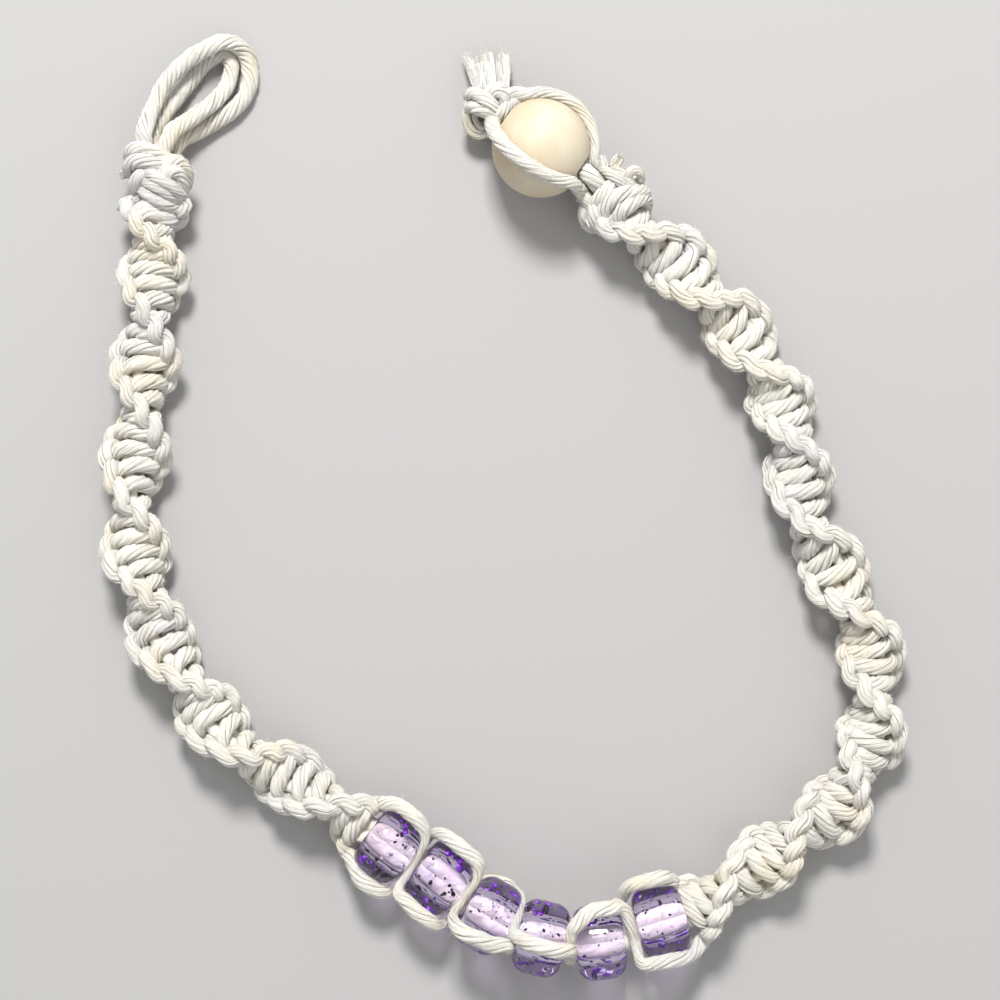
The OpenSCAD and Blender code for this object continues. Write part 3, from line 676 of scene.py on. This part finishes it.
def working_cord(rows, way, seed, skip, stop):
    """Points and radii of one working cord through a whole spiral, without its first and last few.
    Each half knot repeats HALF_KNOT, turned by half a turn from the one before, and is a little
    different in width, depth and place. Each bar also slopes a little, more or less from one knot to
    the next."""
    rng = np.random.default_rng(seed)
    count = int(rows[-1, 3] * KNOTS_PER_QUARTER) + 1
    n = np.arange(-1, count)
    sign = np.where(n % 2 == 0, way, -way)[:, None]
    across = sign * HALF_KNOT[:, 0] * (1 + rng.normal(0, KNOT_WIDTH_SPREAD, (len(n), 1)))
    out = sign * HALF_KNOT[:, 1] * (1 + rng.normal(0, KNOT_DEPTH_SPREAD, (len(n), 1)))
    slope = np.clip(wander(rng, len(n) + 1, *BAR_SLOPE), -STEEPEST_BAR, STEEPEST_BAR)
    drift = HALF_KNOT[:, 2] + np.concatenate([
        slope[:-1] * HALF_KNOT[:3, 0], np.zeros((len(n), 4)), -slope[1:] * HALF_KNOT[7:, 0]], 1)
    knots = n[:, None] + drift / KNOT_PITCH + rng.normal(0, KNOT_PLACE_SPREAD, (len(n), 1))
    points = spiral_points(rows, across.ravel(), out.ravel(), knots.ravel())
    points += rng.normal(0, POINT_SPREAD, points.shape)
    points[:, 2] = np.maximum(points[:, 2], LOWEST_MIDDLE)
    return with_radius(points, np.tile(HALF_KNOT[:, 3], len(n)))[skip:len(points) - stop]


def filler_cord(rows, side):
    """One of the two filler cords through a whole spiral, at its side of the middle line."""
    knots = np.linspace(0, rows[-1, 3] * KNOTS_PER_QUARTER, 4 * len(rows))
    out = np.zeros(len(knots))
    return with_radius(spiral_points(rows, out + side * FILLER_OUT, out, knots), FILLER_R)


def bead_line(u):
    """Line through the beads' bores, where u counts stops: a cubic that leaves and meets each stop
    in the stop's own heading."""
    u = np.atleast_1d(np.asarray(u, float))
    i = np.clip(np.floor(u).astype(int), 0, len(LINE_STOPS) - 2)
    t = (u - i)[:, None]
    p, q = LINE_STOPS[i], LINE_STOPS[i + 1]
    reach = np.linalg.norm(q - p, axis=1, keepdims=True)
    leave, meet = heading(LINE_HEADINGS[i]), heading(LINE_HEADINGS[i + 1])
    return ((2 * t ** 3 - 3 * t ** 2 + 1) * p + (t ** 3 - 2 * t ** 2 + t) * reach * leave
            + (3 * t ** 2 - 2 * t ** 3) * q + (t ** 3 - t ** 2) * reach * meet)


def bead_travel(u):
    """Direction of the line through the beads' bores."""
    return unit(bead_line(u + 0.01) - bead_line(u - 0.01))


def side_line(u):
    """Line that the side cords turn round: each bead's own bore line beside the bead, and the bead
    line between two beads."""
    i = np.rint(u).astype(int)
    s = u - i
    free = np.where((i < 1) | (i > len(BEADS)), 1, np.clip((abs(s) - FREE_FROM) / FREE_OVER, 0, 1))[:, None]
    other = np.clip(i + np.sign(s).astype(int), 0, len(LINE_STOPS) - 1)
    step = np.linalg.norm(LINE_STOPS[other] - LINE_STOPS[i], axis=1)
    bore = LINE_STOPS[i] + (s * step)[:, None] * heading(LINE_HEADINGS[i])
    return free * bead_line(u) + (1 - free) * bore


def side_cord(rows):
    """A working cord past the six beads: it lies beside each bead and crosses to the other side
    between two."""
    u, radius, angle, cord = rows.T
    left = unit(np.cross(UP, bead_travel(u)))
    way = toward(np.radians(angle), UP, -left)
    return with_radius(side_line(u) + radius[:, None] * way, cord)


def wooden_side(degrees, first, last, meets, leaves, steps=9, sunk=0.02):
    """A working cord over the wooden bead: a part of a circle round its centre, sunk into it a little."""
    way = toward(np.radians(degrees), UP, np.cross(UP, WOOD_WAY))
    swing = np.radians(np.linspace(meets, leaves, steps))
    cord = np.linspace(first, last, steps)
    rest = (WOOD_D / 2 + cord - sunk)[:, None]
    return with_radius(WOOD + rest * toward(swing, WOOD_WAY, way), cord)


def arc(centre, radius, start, end, count):
    """Points of a profile on an arc, between two angles in degrees."""
    angle = np.radians(np.linspace(start, end, count))
    return np.stack([centre[0] + radius * np.cos(angle), centre[1] + radius * np.sin(angle)], -1)


def barrel_profile(lip=0.25):
    """Outline of a barrel bead as place along the bore and radius: two rounded outer edges with a
    straight wall between them, and a bore whose mouths are rounded by the lip."""
    half, outer, bore = BEAD_L / 2, BEAD_D / 2, BEAD_BORE / 2
    wall = np.linspace(-(half - BEAD_ROUND), half - BEAD_ROUND, 6)[::-1]
    return np.concatenate([
        arc((half - lip, bore + lip), lip, -90, 0, 5),
        arc((half - BEAD_ROUND, outer - BEAD_ROUND), BEAD_ROUND, 0, 90, 14),
        np.stack([wall[1:-1], np.full(4, outer)], -1),
        arc((-(half - BEAD_ROUND), outer - BEAD_ROUND), BEAD_ROUND, 90, 180, 14),
        arc((-(half - lip), bore + lip), lip, 180, 270, 5)])


def ball_profile(lip=0.3):
    """Outline of the wooden bead as place along the bore and radius: a ball cut off by a bore, whose
    mouths are bevelled by the lip."""
    half = np.sqrt(WOOD_D ** 2 - WOOD_BORE ** 2) / 2
    edge = np.degrees(np.arctan2(WOOD_BORE / 2 + lip, half))
    ball = arc((0, 0), WOOD_D / 2, edge, 180 - edge, 60)
    bore = np.array([(-half + lip, WOOD_BORE / 2), (half - lip, WOOD_BORE / 2)])
    return np.concatenate([ball, bore])


def bead_wall(place):
    """Radius of a barrel bead's outer skin at a place along its bore: the full radius in the middle,
    and a quarter circle towards each end."""
    past = np.maximum(abs(place) - BEAD_L / 2 + BEAD_ROUND, 0)
    return BEAD_D / 2 - BEAD_ROUND + np.sqrt(np.maximum(BEAD_ROUND ** 2 - past ** 2, 0))


def glitter(skin, seed, index):
    """Adds hexagonal flakes inside a bead's wall, each a thin closed plate at a random place, turn and
    size, moved in until all of it lies below the bead's skin. The map's first column picks a flake's
    colour, and violet flakes keep near the outer skin."""
    rng = np.random.default_rng(seed)
    count = FLAKES_EACH
    t = heading(BEADS[index, 3])
    centre = BEAD_CENTRES[index]
    tint = rng.uniform(0, 1, count)
    violet = (tint > VIOLET_FROM) & (tint < SILVER_FROM)
    place = rng.uniform(-FLAKE_REACH * BEAD_L, FLAKE_REACH * BEAD_L, count)
    room = bead_wall(place) - np.where(violet, VIOLET_ROOM, FLAKE_ROOM)
    inner = np.where(violet, VIOLET_INNER * room, BEAD_BORE / 2 + FLAKE_ROOM)
    radius = np.sqrt(rng.uniform(inner ** 2, room ** 2))
    angle = rng.uniform(0, 2 * np.pi, count)
    at_side = np.pi * rng.integers(0, 2, count) + rng.uniform(*VIOLET_ANGLES, count)
    angle = np.where(violet, at_side, angle)
    out = toward(angle, *square_to(t, UP))
    middle = centre + place[:, None] * t + radius[:, None] * out
    normal = unit(out + rng.normal(0, FLAKE_LEAN, (count, 3)))
    first, second = square_to(normal, rng.normal(0, 1, (count, 3)))
    size = rng.choice(FLAKE_SIZES, count, p=FLAKE_SHARES)
    size = np.where(violet, VIOLET_SIZE * size, size)
    first *= rng.uniform(*FLAKE_STRETCH, (count, 1))
    flat = size[:, None, None] * toward(full_turn(6), first[:, None], second[:, None])
    plate = FLAKE_HALF * normal[:, None]
    points = np.concatenate([middle[:, None] + flat - plate, middle[:, None] + flat + plate], 1)
    past = np.maximum(abs((points - centre) @ t) - BEAD_L / 2 + FLAKE_DEPTH, 0).max(1)
    points -= (past * np.sign(place))[:, None, None] * t
    along = (points - centre) @ t
    away = np.linalg.norm(points - centre - along[..., None] * t, axis=-1)
    points -= np.maximum(away - bead_wall(along) + FLAKE_DEPTH, 0).max(1)[:, None, None] * out[:, None]
    skin.copies(points, [(0, 3, 2, 1), (0, 5, 4, 3), (6, 7, 8, 9), (6, 9, 10, 11)] + walls(6),
                np.stack([tint, 0 * tint], -1))


def is_clear(points, places):
    """Whether each place lies clear of every cord's skin: no point of a skin is in its cell of a grid."""
    def cell(of):
        whole = np.floor(of / HAIR_CELL).astype(np.int64) + 2000
        return (whole[:, 0] * 4000 + whole[:, 1]) * 4000 + whole[:, 2]
    return ~np.isin(cell(places), np.unique(cell(points)))


def hairs():
    """Loose cotton fibres, in a few skins: thin three-sided spikes that leave the cords' open surface
    near its outward direction, bend along the cord and end in a point."""
    rng = np.random.default_rng(HAIR_SEED)
    roots = np.concatenate([rings.reshape(-1, 3) for rings, _, _ in HAIR_ROOTS])
    outs = np.concatenate([out.reshape(-1, 3) for _, out, _ in HAIR_ROOTS])
    alongs = np.concatenate([np.repeat(t, out.shape[1], axis=0) for _, out, t in HAIR_ROOTS])
    pick = rng.permutation(len(roots))
    pick = pick[roots[pick, 2] > LOWEST_ROOT]
    near, far = (is_clear(roots, roots[pick] + outs[pick] * reach) for reach in HAIR_CLEAR)
    pick = pick[near & far][:HAIRS]
    count = len(pick)
    root, out, along = roots[pick], outs[pick], alongs[pick]
    along = along * rng.choice([-1, 1], (count, 1))
    start = unit(out * HAIR_STAND + along + rng.normal(0, HAIR_SPREAD, (count, 3)))
    bend = rng.normal(0, HAIR_BEND[0], (count, 3)) + out * HAIR_BEND[1]
    size = rng.uniform(*HAIR_LENGTHS, (count, 1)) * rng.uniform(*HAIR_CUT, (count, 1))
    e, f = square_to(start, rng.normal(0, 1, (count, 3)))
    around = toward(full_turn(3), e[:, None], f[:, None])
    rings = [(root - HAIR_SUNK * out + size * (share * start + 0.5 * share ** 2 * bend))[:, None]
             + HAIR_R * (1 - 0.5 * share) * around for share in (0, 0.5)]
    tip = root + size * (start + 0.5 * bend)
    points = np.concatenate(rings + [tip[:, None]], 1)
    points[..., 2] = np.maximum(points[..., 2], LOWEST_HAIR)
    faces = [(0, 2, 1, 1)] + walls(3) + [(3, 4, 6, 6), (4, 5, 6, 6), (5, 3, 6, 6)]
    skins = []
    for part in np.array_split(points, -(-count // HAIRS_EACH)):
        skin = Skin()
        skin.copies(part, faces, np.full((len(part), 2), 0.5))
        skins.append(skin)
    return skins


def brush(skin, row, seed):
    """Adds a cut cord end: soft yarns that leave the root together and swell towards the tip, and a
    coat of fine fibres over them that ends unevenly. Each one has its place on a spiral over the
    section, further out by the root of its number, so that they are spread evenly."""
    rng = np.random.default_rng(seed)
    root, tip = row[:3], row[4:7]
    travel = unit(tip - root)
    side, high = square_to(travel, -UP)
    share = BRUSH_STOPS[:, :1]
    swell = (row[3] + (row[7] - row[3]) * share) * (1 + BRUSH_SWELL * np.sin(np.pi * share))
    for count, of_root, least, reach, inner, outer, sides in BRUSH_YARNS:
        radii = max(of_root * row[3], least) * BRUSH_STOPS[:, 1]
        ring = np.sqrt(inner + (1 - inner) * (np.arange(count) + 0.5) / count) * outer
        places = ring[:, None] * toward(np.arange(count) * BRUSH_TURN, side, BRUSH_FLAT * high)
        for place in places:
            line = root + share * (tip - root) * reach * rng.uniform(*BRUSH_LENGTHS) + swell * place
            line[1:] += rng.normal(0, FIBRE_WANDER, (len(share) - 1, 3)).cumsum(axis=0)
            line[:, 2] = np.maximum(line[:, 2], LOWEST_FIBRE)
            thin_yarn(skin, with_radius(line, radii), rng, sides)


def thin_yarn(skin, rows, rng, sides):
    """Adds one yarn as a plain tube with a slightly uneven skin, which turns to the left."""
    line = even(rows, FIBRE_RING_STEP)
    path = line[:, :3]
    tangent, normal, binormal = frames_along(path)
    s = lengths(path)
    angle = full_turn(sides) - FIBRE_TWIST * s[:, None]
    r = line[:, 3:] * (1 + rng.normal(0, FIBRE_UNEVEN, angle.shape))
    rings = path[:, None] + r[..., None] * toward(angle, normal[:, None], binormal[:, None])
    skin.tube(rings, s + rng.uniform(0, MAP_SHIFT), plain_map(sides))
    HAIR_ROOTS.append((rings, unit(rings - path[:, None]), tangent))


class Paint:
    """A material, with short ways to add its nodes. Each input takes a number, a colour or another
    node's output."""

    def __init__(self, name):
        self.material = bpy.data.materials.new(name)
        self.material.use_nodes = True
        self.tree = self.material.node_tree
        self.shader = self.tree.nodes["Principled BSDF"]
        self.output = self.tree.nodes["Material Output"]

    def fill(self, node, inputs):
        """Sets or links a node's inputs, given by name or number."""
        for key, value in inputs.items():
            socket = node.inputs[key]
            if isinstance(value, bpy.types.NodeSocket):
                self.tree.links.new(value, socket)
            elif socket.type == "RGBA":
                socket.default_value = (*value, 1)
            else:
                socket.default_value = value
        return node

    def node(self, kind, inputs):
        return self.fill(self.tree.nodes.new(kind), inputs)

    def math(self, operation, first, second=0.5):
        node = self.node("ShaderNodeMath", {0: first, 1: second})
        node.operation = operation
        return node.outputs[0]

    def times(self, first, second):
        return self.math("MULTIPLY", first, second)

    def noise(self, vector, scale, detail, roughness=0.5):
        return self.node("ShaderNodeTexNoise", {
            "Vector": vector, "Scale": scale, "Detail": detail, "Roughness": roughness}).outputs["Fac"]

    def mix(self, factor, first, second):
        node = self.tree.nodes.new("ShaderNodeMix")
        node.data_type = "RGBA"
        return self.fill(node, {0: factor, 6: first, 7: second}).outputs[2]

    def spread(self, value, low, high, out_low=0.0, out_high=1.0):
        """The value brought from between low and high to between the two outs, with soft ends."""
        node = self.node("ShaderNodeMapRange", {
            "Value": value, "From Min": low, "From Max": high, "To Min": out_low, "To Max": out_high})
        node.interpolation_type = "SMOOTHSTEP"
        return node.outputs[0]

    def bump(self, height, strength, distance):
        node = self.node("ShaderNodeBump", {
            "Height": height, "Strength": strength, "Distance": distance})
        self.fill(self.shader, {"Normal": node.outputs[0]})

    def yarn_map(self):
        """The two columns of the pieces' own map."""
        uv = self.tree.nodes.new("ShaderNodeUVMap")
        uv.uv_map = "yarn"
        return self.node("ShaderNodeSeparateXYZ", {0: uv.outputs[0]}).outputs[:2]

    def place(self, x, y):
        return self.node("ShaderNodeCombineXYZ", {0: x, 1: y}).outputs[0]

    def object_place(self):
        return self.tree.nodes.new("ShaderNodeTexCoord").outputs["Object"]


def cotton_material():
    """Unbleached cotton: cream, with yellower and greyer stretches, painted shade in the grooves between
    the yarns, more in some grooves than others, and fine fibres that run along each yarn, with painted
    shade in the hollows between them. The map's first column is millimetres along the cord, and its
    second counts yarns, a whole number being a groove."""
    paint = Paint("cotton_cord")
    math, times, noise, mix, spread = paint.math, paint.times, paint.noise, paint.mix, paint.spread
    place, spot = paint.place, paint.object_place()
    along, around = paint.yarn_map()
    edge = times(math("ABSOLUTE", math("SUBTRACT", math("FRACT", around), 0.5)), 2)
    groove = place(times(math("ROUND", around), 7.31), times(along, 0.22))
    # Painted shade in the grooves between yarns: a mask, stronger in some grooves than others
    groove_shade_amount = spread(noise(groove, 1, 1), 0.4, 0.68)
    gap = times(spread(edge, 0.76, 1), groove_shade_amount)
    strand = noise(place(times(around, 2.6), times(along, 0.4)), 1, 2)
    askew = math("ADD", times(around, 7), times(along, 1.5))
    fibre = noise(place(askew, times(along, 0.6)), 1.3, 6, 0.66)
    yellow = spread(noise(spot, YELLOW_RATE, 2), 0.45, 0.7)
    grey = spread(noise(spot, GREY_RATE, 2), 0.48, 0.7, 0, 0.6)
    bright = spread(noise(spot, BRIGHT_RATE, 4), 0.35, 0.7, 0, 0.35)
    base = mix(yellow, COTTON_CREAM, COTTON_YELLOW)
    base = mix(grey, base, COTTON_GREY)
    base = mix(bright, base, COTTON_WHITE)
    # Painted shade: darker in the hollows of the fibre and strand relief, where the bump below is low
    base = mix(spread(fibre, 0.3, 0.6, 0.4, 0), base, COTTON_FIBRE_SHADE)
    base = mix(spread(strand, 0.3, 0.52, 0.42, 0), base, COTTON_FIBRE_SHADE)
    # Painted shade: the grooves between yarns darkened towards a dark brown
    base = mix(times(gap, 0.75), base, COTTON_GROOVE_SHADE)
    paint.fill(paint.shader, {"Base Color": base, "Roughness": 0.92, "Specular IOR Level": 0.2,
                              "Sheen Weight": 0.3, "Sheen Roughness": 0.5})
    soft = math("ADD", fibre, times(strand, 1.2))
    paint.bump(math("SUBTRACT", soft, times(gap, 0.7)), 1, COTTON_RELIEF)
    return paint.material


def clear_plastic_material():
    """Clear lilac plastic, deeper in colour where it is thicker. It lets lamp light through, so that
    the cords inside are lit."""
    paint = Paint("clear_plastic")
    paint.fill(paint.shader, {"Base Color": PLASTIC_SKIN, "Transmission Weight": 1, "Roughness": 0.02,
                              "IOR": PLASTIC_IOR})
    through = paint.node("ShaderNodeBsdfTransparent", {"Color": PLASTIC_SHADE})
    rays = paint.tree.nodes.new("ShaderNodeLightPath")
    either = paint.node("ShaderNodeMixShader", {
        0: rays.outputs["Is Shadow Ray"], 1: paint.shader.outputs[0], 2: through.outputs[0]})
    dye = paint.node("ShaderNodeVolumeAbsorption", {"Color": PLASTIC_DYE, "Density": DYE_DENSITY})
    paint.fill(paint.output, {"Surface": either.outputs[0], "Volume": dye.outputs[0]})
    return paint.material


def glitter_material():
    """Flakes of black, deep purple, violet and silver foil, picked by the map's first column."""
    paint = Paint("glitter")
    ramp = paint.node("ShaderNodeValToRGB", {0: paint.yarn_map()[0]})
    ramp.color_ramp.interpolation = "CONSTANT"
    stops = ramp.color_ramp.elements
    stops[0].color = (*FOIL_BLACK, 1)
    stops[1].position, stops[1].color = PURPLE_FROM, (*FOIL_PURPLE, 1)
    for position, colour in ((VIOLET_FROM, FOIL_VIOLET), (SILVER_FROM, FOIL_SILVER)):
        stops.new(position).color = (*colour, 1)
    paint.fill(paint.shader, {"Base Color": ramp.outputs[0], "Metallic": 0.6, "Roughness": 0.3})
    return paint.material


def wood_material():
    """Pale unvarnished wood with fine straight grain along WOOD_GRAIN."""
    paint = Paint("natural_wood")
    turn = paint.node("ShaderNodeMapping", {
        "Vector": paint.object_place(), "Rotation": (0, 0, np.radians(-WOOD_GRAIN))}).outputs[0]
    stretch = paint.node("ShaderNodeMapping", {"Vector": turn, "Scale": VEIN_RATE}).outputs[0]
    grain = paint.noise(stretch, 1, 4, 0.6)
    base = paint.mix(paint.spread(paint.noise(turn, WOOD_RATE, 2), 0.35, 0.7), WOOD_PALE, WOOD_LIGHT)
    base = paint.mix(paint.spread(grain, 0.5, 0.75, 0, 0.28), base, WOOD_VEIN)
    paint.fill(paint.shader, {"Base Color": base, "Roughness": 0.55, "Specular IOR Level": 0.35})
    paint.bump(grain, 0.3, VEIN_RELIEF)
    return paint.material


def set_camera_and_light():
    """Camera straight above, as in the photograph, and a plain pale floor under soft light."""
    data = bpy.data.cameras.new("camera")
    data.sensor_fit = "HORIZONTAL"
    data.angle = 2 * np.arctan(PHOTO_SIDE_PX / PIXELS_PER_MM / 2 / CAMERA_DISTANCE)
    data.clip_start = 0.01
    camera = bpy.data.objects.new("camera", data)
    camera.location = (PHOTO_CENTRE[0] * MM, PHOTO_CENTRE[1] * MM, (CORD_HEIGHT + CAMERA_DISTANCE) * MM)
    bpy.context.scene.collection.objects.link(camera)
    bpy.context.scene.camera = camera
    bpy.ops.mesh.primitive_plane_add(size=FLOOR_SIDE, location=(0, 0, 0))
    floor = bpy.context.object
    floor.name = "floor"
    paint = Paint("floor")
    paint.fill(paint.shader, {"Base Color": FLOOR_GREY, "Roughness": 0.8})
    floor.data.materials.append(paint.material)
    for name, place, size, power in LAMPS:
        lamp = bpy.data.lights.new(name, "AREA")
        lamp.size = size
        lamp.energy = power
        light = bpy.data.objects.new(name, lamp)
        light.location = place
        aim = -np.array(place)
        yaw = np.arctan2(aim[1], aim[0])
        tilt = np.arctan2(np.hypot(aim[0], aim[1]), -aim[2])
        light.rotation_euler = (tilt, 0, yaw - np.pi / 2)
        bpy.context.scene.collection.objects.link(light)
    world = bpy.data.worlds.new("studio")
    world.use_nodes = True
    sky = world.node_tree.nodes["Background"]
    sky.inputs["Color"].default_value = (*SKY, 1)
    sky.inputs["Strength"].default_value = SKY_STRENGTH
    bpy.context.scene.world = world
    bpy.context.scene.view_settings.view_transform = "Standard"


def finish_cord(skin, name, *nodes):
    """Makes a skin a piece of cotton in the place of the solids named."""
    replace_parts(skin.build(name, COTTON, "cotton_cord"), *nodes)


def make_working_cords():
    """The two working cords, each one cord from the loop knot through the left spiral, past the beads,
    through the right spiral and round the wooden bead into the end knot. One that starts a spiral with
    an odd number of half knots ends it on the other side."""
    flip = 1 if int(LEFT[-1, 3] * KNOTS_PER_QUARTER) % 2 else -1
    for letter, way, wood_row, wood_node, left_seed, right_seed, yarn_seed in WORKING_CORDS:
        skins = [Skin() for _ in range(4)]
        start = with_radius(INTO_KNOT + (WORKING_ENTRY * way * flip, 0, 0), ENTRY_R)
        left = working_cord(LEFT, way * flip, left_seed, skip=4, stop=5)
        right = working_cord(RIGHT, way, right_seed, skip=5, stop=21)
        wood = wooden_side(*WOOD_SIDES[wood_row])
        finish = with_radius(PAST_WOOD[letter], wood[-1, 3] + PAST_WOOD_MORE)
        lay_cord([(skins[0], np.concatenate([start, left])), (skins[1], side_cord(SIDE_CORDS[letter])),
                  (skins[2], np.concatenate([right, with_radius(BEFORE_WOOD[letter], BEFORE_WOOD_R)])),
                  (skins[3], np.concatenate([wood, finish]))], yarn_seed, KNOTTED_LAY)
        for skin, place, nodes in zip(skins, ("left_working", "bead_side", "right_working", "wooden_side"), (
                ("left_spiral",), ("side_cord_a", "side_cord_b"), ("right_spiral",), (wood_node,))):
            finish_cord(skin, f"{place}_cord_{letter}", *nodes)


def make_filler_cords():
    """The two filler cords, each one cord from the loop knot through both spirals and all the beads."""
    skins = [Skin() for _ in range(3)]
    u = BORE_FILLER_PLACES
    across = np.cross(UP, bead_travel(u))
    for side in (-1, 1):
        start = with_radius(INTO_KNOT + (side * FILLER_ENTRY, 0, 0), FILLER_R)
        beads = with_radius(bead_line(u) + side * BORE_FILLER_OUT * across, BORE_FILLER_R)
        beside = side * WOOD_FILLER_OUT * np.cross(UP, WOOD_WAY)
        wood = with_radius([WOOD + s * WOOD_WAY + beside - drop * UP for s, drop in WOOD_FILLER_WAY],
                           WOOD_FILLER_R)
        lay_cord([(skins[0], np.concatenate([start, filler_cord(LEFT, side)])), (skins[1], beads),
                  (skins[2], np.concatenate([filler_cord(RIGHT, side), wood]))],
                 50 + side, KNOTTED_LAY, FILLER_RING_STEP, hidden=True)
    finish_cord(skins[0], "left_filler_cords", "left_spiral")
    finish_cord(skins[1], "bead_filler_cords", "bead_cores")
    finish_cord(skins[2], "right_filler_cords", "right_spiral", "wooden_core")


def make_loop_and_knots():
    """The two cords of the button loop, the strands and brushes of the knots, and the frayed tail."""
    for name, rows, seed in (("button_loop_outer", LOOP_OUTER, 61), ("button_loop_inner", LOOP_INNER, 62)):
        skin = Skin()
        lay_cord([(skin, with_radius(rows, CORD_R))], seed, step=LOOP_RING_STEP)
        finish_cord(skin, name + "_cord", name)
    under_loop = [with_radius(strand, r) for strand, r in zip(LOOP_KNOT, LOOP_KNOT_R)]
    for name, strands, brushes, node, seed in (
            ("loop_knot_strands", under_loop, STUB_BRUSHES[2:], "loop_knot", 70),
            ("end_knot_strands", END_KNOT, [], "end_knot", 80),
            ("last_knot_strands", LAST_KNOTS, STUB_BRUSHES[:2], "right_spiral", 110),
            ("frayed_tail", [], TAIL, "tail", 70)):
        skin = Skin()
        for k, strand in enumerate(strands):
            lay_cord([(skin, strand)], seed + k, step=KNOT_RING_STEP)
        for k, row in enumerate(brushes):
            brush(skin, row, seed + 20 + k)
        finish_cord(skin, name, node)


def make_beads():
    """The six barrel beads, the glitter in their walls and the wooden bead."""
    plastic = clear_plastic_material()
    flakes = Skin()
    for index, centre in enumerate(BEAD_CENTRES):
        skin = Skin()
        skin.turned(barrel_profile(), 72, centre, heading(BEADS[index, 3]))
        bead = skin.build(f"barrel_bead_{index + 1}", plastic, "clear_plastic")
        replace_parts(bead, f"pony_bead_{index + 1}")
        glitter(flakes, 140 + index, index)
    flakes.build("bead_glitter", glitter_material(), "clear_plastic", shade=False)
    skin = Skin()
    skin.turned(ball_profile(), 96, WOOD, WOOD_WAY)
    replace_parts(skin.build("toggle_bead", wood_material(), "natural_wood"), "wooden_bead")


set_camera_and_light()
COTTON = cotton_material()
make_working_cords()
make_filler_cords()
make_loop_and_knots()
make_beads()
for number, fuzz in enumerate(hairs()):
    fuzz.build(f"cord_fuzz_{number + 1}", COTTON, "cotton_cord", shade=False)
